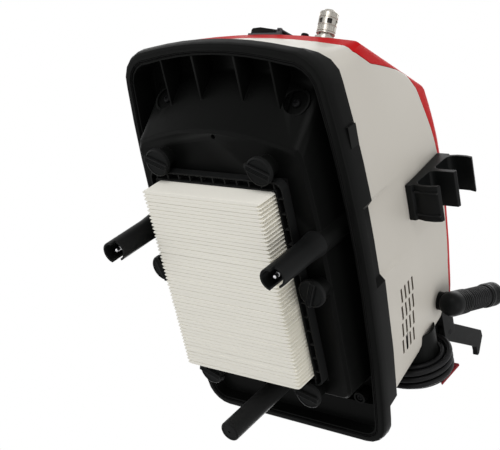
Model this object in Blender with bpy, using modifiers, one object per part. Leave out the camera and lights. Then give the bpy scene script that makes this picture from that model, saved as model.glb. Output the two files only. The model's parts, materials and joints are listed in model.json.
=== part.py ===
"""Head of a wet-and-dry vacuum cleaner, off its container, standing on its electrode guards and post.

The head frame has x = 0 in the plane of symmetry, z = 0 at the underside of the sealing rim,
-y to the control panel and +z to the top cover. Lengths are metres, written as millimetres * mm.
"""

import math

import bmesh
import bpy
from mathutils import Matrix, Vector

mm = 0.001

# Fits
GAP = 0.3 * mm  # between pieces that touch or slide
ROUND = 24  # facets of a middling round piece

# Filter, its gasket and its clamping knobs
GASKET = 2 * mm
FILTER_MID_Y = 37.7 * mm
PACK_HALF_X = 96 * mm
PACK_HALF_Y = 130.9 * mm
FRAME_BORDER_X = 11.7 * mm
FRAME_BORDER_Y = 12.6 * mm
FRAME_HALF_X = PACK_HALF_X + GAP + FRAME_BORDER_X
FRAME_HALF_Y = PACK_HALF_Y + GAP + FRAME_BORDER_Y
FRAME_DEPTH = 13 * mm
FRAME_PLATE = 3 * mm
FRAME_EDGE = 2.5 * mm
PACK_DEPTH = 40 * mm  # below the gasket side of the frame
PLEAT_DEPTH = 4.5 * mm
PLEATS = 50
POCKET_PITCH = 20 * mm
POCKET_WALL = 2 * mm
KNOB_X = FRAME_HALF_X - 25 * mm
KNOB_DY = FRAME_HALF_Y + 14.7 * mm
KNOB_SIDE_X = FRAME_HALF_X + 16 * mm
KNOB_RADIUS = 18.5 * mm
KNOB_THICK = 7 * mm
KNOB_GRIP = 2.2 * mm
KNOB_STEM = 4 * mm
KNOB_STEM_LENGTH = 12 * mm
BOSS_RADIUS = 14 * mm

# Centre block of the base casing, which carries the motor above and the filter below
BLOCK_FACE = -31.5 * mm
BLOCK_FRONT = FILTER_MID_Y - KNOB_DY - 39.7 * mm
BLOCK_REAR = FILTER_MID_Y + KNOB_DY + 10.8 * mm
BLOCK_HALF = KNOB_SIDE_X + 14.5 * mm
BLOCK_FRONT_HALF = BLOCK_HALF - 5.5 * mm
BLOCK_REAR_HALF = BLOCK_HALF - 2.5 * mm
BLOCK_ARCH = 23.9 * mm
BLOCK_SLOPE = 0.835  # of the front, y for each z
BLOCK_ROUND = 15 * mm
BLOCK_EDGE = 3.5 * mm
CASING_WALL = 3 * mm

# Sealing rim and skirt of the base casing
RIM_FRONT = BLOCK_FRONT - 101.1 * mm
RIM_REAR = BLOCK_REAR + 91.5 * mm
RIM_HALF = BLOCK_HALF + 34.8 * mm
RIM_FRONT_HALF = RIM_HALF - 11.3 * mm
RIM_REAR_HALF = RIM_HALF - 17.8 * mm
RIM_ARCH = 22 * mm
RIM_FRONT_ROUND = 50 * mm
RIM_REAR_ROUND = 35 * mm
WIDEST_Y = -10 * mm
LOWER_BAND = 16 * mm
FRONT_SKIRT = 18.5 * mm
SIDE_SKIRT = 38 * mm
REAR_LEDGE = 20 * mm
SPIGOT = 2 * mm  # of the casing, inside the body shell
RECESS_FRONT = -50 * mm
RECESS_REAR = 60 * mm
RECESS_BLEND = 8 * mm
SKIRT_RECESS = 7 * mm
BODY_RECESS = 6 * mm
RECESS_TOP = 150 * mm
GROOVE_DEPTH = 5 * mm
GROOVE_INSET = 9.9 * mm
GROOVE_WIDTH = 3.1 * mm
CAVITY_INSET = 18.5 * mm
CEILING = 36 * mm
REAR_CEILING = 16 * mm
REAR_WALL = 4 * mm

# White and red housing
BODY_HALF = RIM_HALF - 4.8 * mm  # at the top of the side skirt
BODY_FRONT_LESS = 9.5 * mm
BODY_REAR_LESS = 12 * mm
BODY_DRAFT = 0.099
BODY_REAR = RIM_REAR - 48.5 * mm
REAR_ROOT = BODY_REAR - 45 * mm  # where pieces on the rear wall start, inside it
REAR_DRAFT = 0.1414
BODY_ARCH = 10.5 * mm
FOOT_ARCH = 21.5 * mm  # the housing follows the rim at its foot
FOOT_ROUND = 47 * mm
BODY_WALL = 3 * mm
FRONT_FOOT = RIM_FRONT + 3.6 * mm
LIP_LOW = 80 * mm
LIP_LOW_Y = RIM_FRONT + 20.1 * mm
NOSE_Z = 98 * mm
NOSE_Y = RIM_FRONT + 21.6 * mm
PANEL_TILT = math.radians(53.5)
FLARE_Z = 236 * mm
REAR_FLARE = 2.0
TOP = 256 * mm
TOP_ROUND = 12 * mm
BODY_FRONT_ROUND = 12 * mm
BODY_REAR_ROUND = 32 * mm
SEAM = 0.4 * mm
SEAM_Z = 168 * mm
VENT_LENGTH = 20 * mm
VENT_HEIGHT = 4.2 * mm
VENT_PITCH_Y = 24.5 * mm
VENT_PITCH_Z = 11.3 * mm
VENT_FIRST = (110 * mm, 83 * mm)
VENT_SKEW = -0.125
VENT_COUNT = 4

# Gussets, dimples, screws and catches of the base casing
GUSSET_X = (33.6 * mm, 87.8 * mm)
GUSSET_WALL = 3 * mm
GUSSET_EDGE = 2 * mm
FRONT_DIMPLE = (105 * mm, 14 * mm)  # x and z
DIMPLE_RADIUS = 16 * mm
DIMPLE_DEPTH = 4 * mm
DIMPLE_WALL = 3 * mm
SCREW_BOSS = (RIM_REAR_HALF - 43.5 * mm, BODY_REAR - 12 * mm)
SCREW_BOSS_RADIUS = 9 * mm
SCREW_BOSS_END = 15 * mm
SCREW_HEAD = 5.5 * mm
SCREW_SHANK = 2.4 * mm
SCREW_LENGTH = 12 * mm
CATCH_Y = -138.5 * mm
CATCH_LENGTH = 27 * mm
CATCH_PROUD = 1.6 * mm

# Feet: electrode guards and support post
FOOT_Z = -126 * mm
GUARD_X = BLOCK_HALF - 8.5 * mm
GUARD_Y = -22 * mm
GUARD_RADIUS = 15 * mm
GUARD_ROOT = 17 * mm
GUARD_TAPER = 25 * mm
GUARD_BORE = 12 * mm
GUARD_BORE_TOP = -50 * mm
GUARD_NOTCH = 8 * mm
GUARD_SLOT = 8 * mm
ELECTRODE_RADIUS = 2.6 * mm
ELECTRODE_TIP = -118.5 * mm
POST_Y = BLOCK_REAR + 19 * mm
POST_RADIUS = 14.25 * mm
POST_WALL = 3 * mm

# Accessory clip on the right side wall
CLIP_MID_Y = -1 * mm
CLIP_LENGTH = 50 * mm
CLIP_LOW = 140 * mm
CLIP_PITCH = 46 * mm
CLIP_PLATE = BODY_HALF - 1.5 * mm
CLIP_REACH = CLIP_PLATE + 38 * mm
CLIP_MARGIN = 7 * mm
CLIP_FIN = 5 * mm
CLIP_MIDDLE_FIN = 8 * mm
CLIP_CROWN = 4 * mm

# Control panel pieces, in panel coordinates: x, and v up the slope from the nose
SELECTOR_PLACE = (-75 * mm, 45 * mm)
SELECTOR_RADIUS = 23 * mm
SELECTOR_HEIGHT = 7 * mm
SELECTOR_STEM = 3.5 * mm
BUTTON_PLACE = (64 * mm, 11 * mm)
BUTTON_RADIUS = 5 * mm
BUTTON_HEIGHT = 5.7 * mm
BUTTON_FLANGE = 7 * mm
BUTTON_TRAVEL = mm
COUPLER_PLACE = (88 * mm, 19.5 * mm)
COUPLER_FLANGE = 13 * mm
COUPLER_CORE = 8.5 * mm
COUPLER_SLEEVE = 12 * mm
COUPLER_LENGTH = 39.7 * mm
COUPLER_BORE = 4 * mm
COUPLER_SHANK = 7.5 * mm
COUPLER_SEAT = 5 * mm
SLEEVE_FROM = 8.4 * mm
SLEEVE_TO = 37 * mm
WINDOW_FROM = 20.7 * mm
WINDOW_TO = 27 * mm
WINDOW = 6.5 * mm
SOCKET_PLACE = (6 * mm, 30 * mm)
SOCKET_HALF = (26 * mm, 28 * mm)
SOCKET_RIM = 3 * mm
SOCKET_WELL = 18 * mm
SOCKET_DEPTH = 18 * mm
LID_LOW = 2.5 * mm  # thickness of the lid at its hinge
LID_HIGH = 9 * mm  # and at its free edge
LID_BARREL = 3 * mm
LID_PIN = 1.3 * mm

# Suction hose on the right side
HOSE_X = BODY_HALF - 0.5 * mm
ELBOW_Y = BODY_REAR - 66 * mm
ELBOW_Z = 197 * mm
ELBOW_RADIUS = 17.8 * mm
ELBOW_FOOT = -25 * mm
ELBOW_NECK = 13 * mm
NECK_LENGTH = 32 * mm
ELBOW_BORE = 9.5 * mm
HOSE_LEAN = math.radians(22.5)
COLLAR_LENGTH = 25 * mm
HOSE_RADIUS = 16.6 * mm
HOSE_RIB = 1.6 * mm
HOSE_PITCH = 5.5 * mm
HOSE_RIBS = 9
HOSE_END = 5 * mm
HOSE_BORE = 12.5 * mm
CUFF_RADIUS = 18 * mm
CUFF_LENGTH = 30 * mm

# Hanger arm on the rear wall
ARM_X = BODY_HALF - 36.5 * mm
ARM_PIVOT_Y = BODY_REAR - mm
ARM_PIVOT_Z = 218 * mm
ARM_LEAN = math.radians(36.6)
ARM_LENGTH = 116 * mm
ARM_WIDTH = 27 * mm
ARM_THICK = 8 * mm
ARM_PIN = 3 * mm
ARM_HOOK = 12 * mm

# Cord, its hank and hooks on the rear wall
CORD = 8.4 * mm
HANK_PITCH = 10.2 * mm
HANK_MID_Z = 150 * mm
HANK_NEAR_Y = BODY_REAR - 4 * mm
HANK_SPAN = 236 * mm
HANK_INNER = 40 * mm
LOOPS_A_LAYER = 3
STATIONS = 24
STRAIGHT_STATIONS = 3
HOOK_WALL = 3 * mm
HOOK_LIP = 4 * mm
HOOK_LIP_REACH = 38 * mm
HOOK_LIP_WIDTH = 42 * mm
HOOK_LIP_RISE = 20 * mm
PLUG_RADIUS = 18 * mm
PLUG_LENGTH = 46 * mm
PIN_LENGTH = 19 * mm
GLAND_TIP_X = 26 * mm - HANK_SPAN / 2
GLAND_LENGTH = 26 * mm
GLAND_BOX = 22 * mm
GLAND_ROOT = 60 * mm
STRAIGHT_LEAD = 10 * mm
PLUG_X = -78 * mm

# Motor, fan and cleaning magnet inside
MOTOR_Y = 60 * mm
FAN_CASE = 75 * mm
FAN_CASE_HEIGHT = 36 * mm
CASE_WALL = 2.5 * mm
INLET = 28 * mm
MOUNT_RING = 8 * mm
MOTOR_CAN = 52 * mm
CAN_HEIGHT = 68 * mm
STATOR_HEIGHT = 52 * mm
SHAFT = 4.7 * mm
BEARING = 11 * mm
BEARING_HEIGHT = 7 * mm
ARMATURE = 30 * mm
STATOR_BORE = 31.5 * mm
FAN = 66 * mm
FAN_BLADES = 7
MAGNET_Y = 172 * mm
MAGNET_SIZE = (44 * mm, 34 * mm, 38 * mm)
PLUNGER = 6 * mm
PLUNGER_TRAVEL = 6 * mm
BOARD_Y = -105 * mm
BOARD_SIZE = (120 * mm, 76 * mm)
BOARD_LEGS = 12 * mm


# Scene and small helpers

for old in list(bpy.data.objects):
    bpy.data.objects.remove(old, do_unlink=True)

parts = bpy.data.collections.new("vacuum_head")
cutters = bpy.data.collections.new("cutters")
bpy.context.scene.collection.children.link(parts)
bpy.context.scene.collection.children.link(cutters)
cutters.hide_render = True


def material(name, colour, roughness, metallic=0.0):
    made = bpy.data.materials.new(name)
    made.use_nodes = True
    shader = made.node_tree.nodes["Principled BSDF"]
    shader.inputs["Base Color"].default_value = (*colour, 1)
    shader.inputs["Roughness"].default_value = roughness
    shader.inputs["Metallic"].default_value = metallic
    made.diffuse_color = (*colour, 1)
    return made


black = material("black_plastic", (0.02, 0.02, 0.021), 0.45)
white = material("white_shell", (0.72, 0.70, 0.66), 0.4)
red = material("red_shell", (0.55, 0.02, 0.02), 0.35)
dark_red = material("dark_red_plastic", (0.30, 0.02, 0.03), 0.45)
paper = material("filter_paper", (0.80, 0.78, 0.72), 0.9)
rubber = material("black_rubber", (0.025, 0.025, 0.026), 0.75)
steel = material("steel", (0.62, 0.62, 0.64), 0.3, 1.0)
nickel = material("nickel", (0.70, 0.69, 0.66), 0.2, 1.0)
grey = material("grey_plastic", (0.25, 0.26, 0.27), 0.5)
copper = material("wound_copper", (0.55, 0.25, 0.12), 0.4, 1.0)
green = material("board_green", (0.03, 0.18, 0.07), 0.5)


def empty(name, parent=None, location=(0, 0, 0), rotation=(0, 0, 0)):
    made = bpy.data.objects.new(name, None)
    parts.objects.link(made)
    made.parent = parent
    made.location = location
    made.rotation_euler = rotation
    return made


head = empty("head_frame")
panel = empty(
    "panel_frame", head, location=(0, NOSE_Y, NOSE_Z), rotation=(PANEL_TILT, 0, 0)
)


def place(made, finish=None, parent=head, location=(0, 0, 0), rotation=(0, 0, 0)):
    """A finish makes it a piece of the head, and none makes it a cutter."""
    made.parent = parent
    made.location = location
    made.rotation_euler = rotation
    if finish is None:
        cutters.objects.link(made)
        made.hide_render = True
        made.display_type = "WIRE"
    else:
        parts.objects.link(made)
        made.data.materials.clear()
        made.data.materials.append(finish)
    return made


def from_bmesh(name, shape):
    bmesh.ops.recalc_face_normals(shape, faces=shape.faces)
    mesh = bpy.data.meshes.new(name)
    shape.to_mesh(mesh)
    shape.free()
    return bpy.data.objects.new(name, mesh)


def box(name, size, centre=(0, 0, 0)):
    shape = bmesh.new()
    matrix = Matrix.Translation(centre) @ Matrix.Diagonal((*size, 1))
    bmesh.ops.create_cube(shape, size=1, matrix=matrix)
    return from_bmesh(name, shape)


def boxes(name, list_of_boxes):
    """Boxes that don't touch, as one cutter."""
    shape = bmesh.new()
    for size, centre in list_of_boxes:
        matrix = Matrix.Translation(centre) @ Matrix.Diagonal((*size, 1))
        bmesh.ops.create_cube(shape, size=1, matrix=matrix)
    return from_bmesh(name, shape)


def rod(name, radius, low, high, segments=ROUND, centre=(0, 0), axis="Z"):
    """A cylinder from low to high along its axis; centre is in the other two axes, in order."""
    shape = bmesh.new()
    turn = {
        "Z": Matrix.Identity(4),
        "Y": Matrix.Rotation(-math.pi / 2, 4, "X"),
        "X": Matrix.Rotation(math.pi / 2, 4, "Y"),
    }[axis]
    middle = (low + high) / 2
    spot = {
        "Z": (centre[0], centre[1], middle),
        "Y": (centre[0], middle, centre[1]),
        "X": (middle, centre[0], centre[1]),
    }[axis]
    bmesh.ops.create_cone(
        shape,
        cap_ends=True,
        segments=segments,
        radius1=radius,
        radius2=radius,
        depth=high - low,
        matrix=Matrix.Translation(spot) @ turn,
    )
    return from_bmesh(name, shape)


def turned(name, profile, segments=ROUND, ring=False):
    """A turned piece: the profile runs down its outer side, and a ring's comes back up inside."""
    mesh = bpy.data.meshes.new(name)
    count = len(profile)
    edges = [(i, (i + 1) % count) for i in range(count if ring else count - 1)]
    mesh.from_pydata([(radius, 0, z) for radius, z in profile], edges, [])
    made = bpy.data.objects.new(name, mesh)
    screw = made.modifiers.new("turn", "SCREW")
    screw.steps = screw.render_steps = segments
    screw.use_merge_vertices = True
    screw.merge_threshold = 0.00001
    return made


def loft(name, rings, closed=False):
    """A skin over rings with equally many points; a closed one joins its last ring to its first."""
    shape = bmesh.new()
    made = [[shape.verts.new(point) for point in ring] for ring in rings]
    count = len(made[0])
    pairs = list(zip(made, made[1:]))
    if closed:
        pairs.append((made[-1], made[0]))
    else:
        shape.faces.new(made[0])
        shape.faces.new(made[-1])
    for one, two in pairs:
        for i in range(count):
            j = (i + 1) % count
            shape.faces.new((one[i], one[j], two[j], two[i]))
    return from_bmesh(name, shape)


def mesh_of(curve):
    """The curve as a welded mesh, which a Boolean can take."""
    bpy.context.scene.collection.objects.link(curve)
    bpy.context.view_layer.update()
    graph = bpy.context.evaluated_depsgraph_get()
    mesh = bpy.data.meshes.new_from_object(curve.evaluated_get(graph))
    shape = bmesh.new()
    shape.from_mesh(mesh)
    bmesh.ops.remove_doubles(shape, verts=shape.verts, dist=0.00001)
    bmesh.ops.recalc_face_normals(shape, faces=shape.faces)
    shape.to_mesh(mesh)
    shape.free()
    name = curve.name
    bpy.data.objects.remove(curve)
    return bpy.data.objects.new(name, mesh)


def outline_plate(name, outline, thickness):
    """A flat plate with this outline in its own xy plane, its middle at z = 0."""
    curve = bpy.data.curves.new(name, "CURVE")
    curve.dimensions = "2D"
    curve.fill_mode = "BOTH"
    curve.extrude = thickness / 2
    spline = curve.splines.new("POLY")
    spline.points.add(len(outline) - 1)
    for point, (x, y) in zip(spline.points, outline):
        point.co = (x, y, 0, 1)
    spline.use_cyclic_u = True
    return mesh_of(bpy.data.objects.new(name, curve))


def tube(name, points, radius, resolution):
    curve = bpy.data.curves.new(name, "CURVE")
    curve.dimensions = "3D"
    curve.bevel_depth = radius
    curve.bevel_resolution = resolution
    curve.use_fill_caps = True
    spline = curve.splines.new("POLY")
    spline.points.add(len(points) - 1)
    for point, spot in zip(spline.points, points):
        point.co = (*spot, 1)
    return bpy.data.objects.new(name, curve)


def boolean(made, other, operation):
    modifier = made.modifiers.new(other.name, "BOOLEAN")
    modifier.operation = operation
    modifier.object = other
    modifier.solver = "EXACT"


def cut(made, *others):
    for other in others:
        boolean(made, other, "DIFFERENCE")


def join(made, *others):
    for other in others:
        boolean(made, other, "UNION")


def keep(made, other):
    boolean(made, other, "INTERSECT")


def bevel(made, width, segments=1, angle=math.radians(40)):
    modifier = made.modifiers.new("edges", "BEVEL")
    modifier.width = width
    modifier.segments = segments
    modifier.limit_method = "ANGLE"
    modifier.angle_limit = angle


def smooth(made, angle=math.radians(35)):
    made.data.shade_smooth()
    made.data.set_sharp_from_angle(angle=angle)


def mix(one, two, share):
    return one + (two - one) * share


def steps(value, table):
    """The value's place in a table of (at, gives) pairs, straight between them."""
    for (low, first), (high, last) in zip(table, table[1:]):
        if value <= high:
            return mix(first, last, (value - low) / (high - low))
    (low, first), (high, last) = table[-2:]
    return mix(first, last, (value - low) / (high - low))


# Outlines of the rim, the block and the housing. Every one has the same count of points, and
# each index means the same place, so that rings of unlike outlines join.

FRONT_POINTS = 5
CORNER_POINTS = 5
REAR_SHARES = (0.5, 0.87, 0.89, 1.0)


def plan(half, front_half, rear_half, front, arch, rear, front_round, rear_round, dent=0):
    right = []
    flat = front_half - front_round
    for i in range(FRONT_POINTS):
        x = flat * i / (FRONT_POINTS - 1)
        right.append((x, front + arch * (x / front_half) ** 2))
    side_from = right[-1][1] + front_round
    for i in range(1, CORNER_POINTS + 1):
        turn = math.pi / 2 * i / CORNER_POINTS
        x = flat + front_round * math.sin(turn)
        right.append((x, side_from - front_round * math.cos(turn)))
    side_to = rear - rear_round
    middle = (RECESS_FRONT + RECESS_REAR) / 2
    places = [mix(side_from, RECESS_FRONT, share) for share in (1 / 3, 2 / 3, 1)]
    places += [RECESS_FRONT + RECESS_BLEND, middle, RECESS_REAR - RECESS_BLEND]
    places += [RECESS_REAR] + [mix(RECESS_REAR, side_to, share) for share in REAR_SHARES]
    for index, y in enumerate(places):
        if y < WIDEST_Y:
            less = (half - front_half) * ((WIDEST_Y - y) / (WIDEST_Y - side_from)) ** 2
        else:
            less = (half - rear_half) * ((y - WIDEST_Y) / (side_to - WIDEST_Y)) ** 2
        inside = dent if 3 <= index <= 5 else 0
        right.append((half - less - inside, y))
    for i in range(1, CORNER_POINTS + 1):
        turn = math.pi / 2 * i / CORNER_POINTS
        x = rear_half - rear_round + rear_round * math.cos(turn)
        right.append((x, side_to + rear_round * math.sin(turn)))
    right.append((right[-1][0] / 2, rear))
    right.append((0, rear))
    return right + [(-x, y) for x, y in right[-2:0:-1]]


SIDE_FROM = FRONT_POINTS + CORNER_POINTS
SIDE_POINTS = 11
HALF_POINTS = SIDE_FROM + SIDE_POINTS + CORNER_POINTS + 2
RING_POINTS = 2 * HALF_POINTS - 2


def skirt_top(index):
    """Height of the black skirt at a point of the outline: low in front, high at the sides."""
    index = min(index, RING_POINTS - index)
    if index < FRONT_POINTS:
        return FRONT_SKIRT
    if index < FRONT_POINTS + 3:
        share = (index - FRONT_POINTS + 1) / 4
        return mix(FRONT_SKIRT, SIDE_SKIRT, share * share * (3 - 2 * share))
    last_high = SIDE_FROM + SIDE_POINTS - 3
    return SIDE_SKIRT if index <= last_high else REAR_LEDGE


def is_rear(index):
    return min(index, RING_POINTS - index) > SIDE_FROM + SIDE_POINTS - 3


def rim_plan(inset, dent=0):
    return plan(
        RIM_HALF - inset,
        RIM_FRONT_HALF - inset,
        RIM_REAR_HALF - inset,
        RIM_FRONT + inset,
        RIM_ARCH,
        RIM_REAR - inset,
        RIM_FRONT_ROUND - inset,
        RIM_REAR_ROUND - inset,
        dent,
    )


def block_plan(z, grow):
    front = BLOCK_FRONT - (z - BLOCK_FACE) * BLOCK_SLOPE
    radius = BLOCK_ROUND + grow
    return plan(
        BLOCK_HALF + grow,
        BLOCK_FRONT_HALF + grow,
        BLOCK_REAR_HALF + grow,
        front - grow,
        BLOCK_ARCH,
        BLOCK_REAR + grow,
        radius,
        radius,
    )


def body_front(z):
    run = (TOP - NOSE_Z) / math.tan(PANEL_TILT)
    table = ((FRONT_SKIRT, FRONT_FOOT), (LIP_LOW, LIP_LOW_Y), (NOSE_Z, NOSE_Y), (TOP, NOSE_Y + run))
    return steps(z, table)


def body_plan(z, grow=0.0):
    """The housing's outline at a height, grown outwards."""
    half = BODY_HALF - (z - SIDE_SKIRT) * BODY_DRAFT + grow
    rear = BODY_REAR - (z - SIDE_SKIRT) * REAR_DRAFT - max(0, z - FLARE_Z) * REAR_FLARE
    share = min(1, max(0, (RECESS_TOP - z) / (RECESS_TOP - SIDE_SKIRT)))
    shrink = 1 - 0.35 * (z - SIDE_SKIRT) / (TOP - SIDE_SKIRT)
    low = max(0, (NOSE_Z - z) / (NOSE_Z - FRONT_SKIRT))
    return plan(
        half,
        half - BODY_FRONT_LESS,
        half - BODY_REAR_LESS,
        body_front(z) - grow,
        mix(BODY_ARCH, FOOT_ARCH, low),
        rear + grow,
        max(mm, mix(BODY_FRONT_ROUND * shrink, FOOT_ROUND, low) + grow),
        BODY_REAR_ROUND * shrink + grow,
        BODY_RECESS * share,
    )


def level(outline, z):
    return [(x, y, z) for x, y in outline]


def body_rings(grow, foot):
    """Rings of the housing from its foot to its top, at this offset from the outer skin."""
    rings = []
    if foot is not None:
        lows = [skirt_top(i) + foot for i in range(RING_POINTS)]
        rings.append([(*body_plan(z, grow)[i], z) for i, z in enumerate(lows)])
    else:
        rings.append(level(body_plan(REAR_LEDGE / 2, grow), REAR_LEDGE / 2))
    heights = [SIDE_SKIRT + 6 * mm, LIP_LOW, NOSE_Z, NOSE_Z + 26 * mm, RECESS_TOP]
    for z in heights + [FLARE_Z - 43 * mm, FLARE_Z, TOP - TOP_ROUND]:
        rings.append(level(body_plan(z, grow), z))
    for turn in (30, 60, 90):
        lift = (TOP_ROUND + grow) * math.sin(math.radians(turn))
        inset = (TOP_ROUND + grow) * (1 - math.cos(math.radians(turn)))
        z = TOP - TOP_ROUND + lift
        rings.append(level(body_plan(z, grow - inset), z))
    return rings


def envelope(name, grow):
    """The whole housing as one solid, to cut what is mounted on it."""
    return place(loft(name, body_rings(grow, None)))


wall_cutter = envelope("wall_cutter", GAP)


# Base casing

def block_ring(z, grow):
    return level(block_plan(z, grow), z)


def knob_spots():
    spots = [(x, FILTER_MID_Y + dy) for dy in (-KNOB_DY, KNOB_DY) for x in (-KNOB_X, KNOB_X)]
    return spots + [(-KNOB_SIDE_X, FILTER_MID_Y), (KNOB_SIDE_X, FILTER_MID_Y)]


KNOB_TOP = BLOCK_FACE - GASKET - FRAME_DEPTH - 3 * GAP
dimple_tilt = math.atan(1 / BLOCK_SLOPE)


def dimple_frame(side):
    """A place on the block's front slope, with its z axis out of the slope, and its x along it."""
    x, z = FRONT_DIMPLE
    arch = BLOCK_ARCH * (x / BLOCK_FRONT_HALF) ** 2
    y = BLOCK_FRONT + arch - (z - BLOCK_FACE) * BLOCK_SLOPE
    return (side * x, y, z), (math.pi - dimple_tilt, 0, 0)


def base_casing():
    inside = -(BODY_WALL + 2 * GAP)
    tops = [skirt_top(i) for i in range(RING_POINTS)]
    spigot_foot = [(*body_plan(z, inside)[i], z) for i, z in enumerate(tops)]
    cavity = rim_plan(CAVITY_INSET)
    rear_cavity = body_plan(REAR_LEDGE, inside - REAR_WALL)
    turned_in = [rear_cavity[i] if is_rear(i) else cavity[i] for i in range(RING_POINTS)]
    lows = [REAR_CEILING if is_rear(i) else CEILING - 4 * mm for i in range(RING_POINTS)]
    edge_in = rim_plan(CAVITY_INSET + 1.5 * mm)
    last = [rear_cavity[i] if is_rear(i) else edge_in[i] for i in range(RING_POINTS)]
    edge = rim_plan(1.2 * mm, SKIRT_RECESS)
    groove_end = GROOVE_INSET + GROOVE_WIDTH
    rings = [
        block_ring(BLOCK_FACE + CASING_WALL, -CASING_WALL - BLOCK_EDGE / 2),
        block_ring(BLOCK_FACE + BLOCK_EDGE, -CASING_WALL),
        block_ring(SIDE_SKIRT + SPIGOT, -CASING_WALL),
        level(body_plan(SIDE_SKIRT + SPIGOT, inside), SIDE_SKIRT + SPIGOT),
        spigot_foot,
        [(*body_plan(z, GAP)[i], z) for i, z in enumerate(tops)],
        [(x, y, z) for (x, y), z in zip(edge, tops)],
        level(rim_plan(0, SKIRT_RECESS), LOWER_BAND + 1.3 * mm),
        level(rim_plan(0), LOWER_BAND),
        level(rim_plan(0), 6 * mm),
        level(rim_plan(1.6 * mm), 1.6 * mm),
        level(rim_plan(5 * mm), 0),
        level(rim_plan(GROOVE_INSET), 0),
        level(rim_plan(GROOVE_INSET), GROOVE_DEPTH),
        level(rim_plan(groove_end), GROOVE_DEPTH),
        level(rim_plan(groove_end), 1.2 * mm),
        level(rim_plan(groove_end + 2.4 * mm), 1.2 * mm),
        [(*spot, z) for spot, z in zip(cavity, lows)],
        [(*spot, z + mm) for spot, z in zip(turned_in, lows)],
        level(last, CEILING),
        block_ring(CEILING, 4 * mm),
        block_ring(CEILING - 4 * mm, 0),
        block_ring(BLOCK_FACE + BLOCK_EDGE, 0),
        block_ring(BLOCK_FACE + 2 * mm, -2 * mm),
        block_ring(BLOCK_FACE, -BLOCK_EDGE),
    ]
    casing = place(loft("base_casing", rings), black)
    for side in (-1, 1):
        for x in GUSSET_X:
            join(casing, gusset(side * x))
        spot, turn = dimple_frame(side)
        inner = rod("dimple_boss", DIMPLE_RADIUS + DIMPLE_WALL, -DIMPLE_DEPTH - DIMPLE_WALL, -mm)
        join(casing, place(inner, None, head, spot, turn))
        hollow = rod("dimple", DIMPLE_RADIUS, -DIMPLE_DEPTH, 30 * mm)
        cut(casing, place(hollow, None, head, spot, turn))
        hole = rod("dimple_hole", SCREW_SHANK + GAP, -30 * mm, 0, 10)
        cut(casing, place(hole, None, head, spot, turn))
        centre = (side * GUARD_X, GUARD_Y)
        join(casing, place(rod("guard_root", GUARD_ROOT, BLOCK_FACE, CEILING + mm, centre=centre)))
        centre = (side * SCREW_BOSS[0], SCREW_BOSS[1])
        boss = rod("screw_boss", SCREW_BOSS_RADIUS, SCREW_BOSS_END, CEILING + mm, 16, centre)
        join(casing, place(boss))
        hole = rod("screw_hole", SCREW_SHANK + GAP, 0, TOP, 10, centre)
        well = rod("screw_well", SCREW_HEAD + GAP, 0, SCREW_BOSS_END + 4 * mm, 16, centre)
        cut(casing, place(hole), place(well))
        size = (6 * mm, CATCH_LENGTH, SIDE_SKIRT - LOWER_BAND - 5 * mm)
        low = (LOWER_BAND + SIDE_SKIRT) / 2
        x = side * (catch_face() + CATCH_PROUD - 3 * mm)
        join(casing, place(box("catch_plate", size, (x, CATCH_Y, low))))
    for centre in knob_spots():
        boss = rod("knob_boss", BOSS_RADIUS, KNOB_TOP + GAP, BLOCK_FACE + 12 * mm, 20, centre)
        join(casing, place(boss))
        hole = rod("knob_hole", KNOB_STEM + GAP, -TOP, KNOB_TOP + KNOB_STEM_LENGTH + 2 * mm, 12, centre)
        cut(casing, place(hole))
    inlet = rod("inlet", INLET, BLOCK_FACE - 5 * mm, BLOCK_FACE + 10 * mm, centre=(0, MOTOR_Y))
    cut(casing, place(inlet))
    return casing


def catch_face():
    """Half width of the rim at the catch plates."""
    side_from = RIM_FRONT + RIM_ARCH * ((RIM_FRONT_HALF - RIM_FRONT_ROUND) / RIM_FRONT_HALF) ** 2
    side_from += RIM_FRONT_ROUND
    share = (WIDEST_Y - CATCH_Y) / (WIDEST_Y - side_from)
    return RIM_HALF - (RIM_HALF - RIM_FRONT_HALF) * share**2


def gusset(x):
    front = RIM_FRONT + CAVITY_INSET - 2 * mm
    foot = BLOCK_FRONT - (GUSSET_EDGE - BLOCK_FACE) * BLOCK_SLOPE
    root = BLOCK_FRONT - (CEILING - BLOCK_FACE) * BLOCK_SLOPE
    arch = BLOCK_ARCH * (x / BLOCK_FRONT_HALF) ** 2
    into = 1.5 * mm + arch
    outline = [
        (front + RIM_ARCH * (x / RIM_FRONT_HALF) ** 2, GUSSET_EDGE),
        (foot + into, GUSSET_EDGE),
        (root + into, CEILING + mm),
        (front + RIM_ARCH * (x / RIM_FRONT_HALF) ** 2, CEILING + mm),
    ]
    made = outline_plate("gusset", outline, GUSSET_WALL)
    return place(made, None, head, (x, 0, 0), (math.pi / 2, 0, math.pi / 2))


def rim_seal():
    low = GROOVE_INSET + GAP
    high = GROOVE_INSET + GROOVE_WIDTH - GAP
    middle = (low + high) / 2
    profile = [
        (low, GROOVE_DEPTH - GAP),
        (high, GROOVE_DEPTH - GAP),
        (high, -0.2 * mm),
        (high - 0.6 * mm, -1.2 * mm),
        (middle, 0.8 * mm),
        (low + 0.6 * mm, -1.2 * mm),
        (low, -0.2 * mm),
    ]
    return place(loft("rim_seal", [level(rim_plan(i), z) for i, z in profile], True), rubber)


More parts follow.
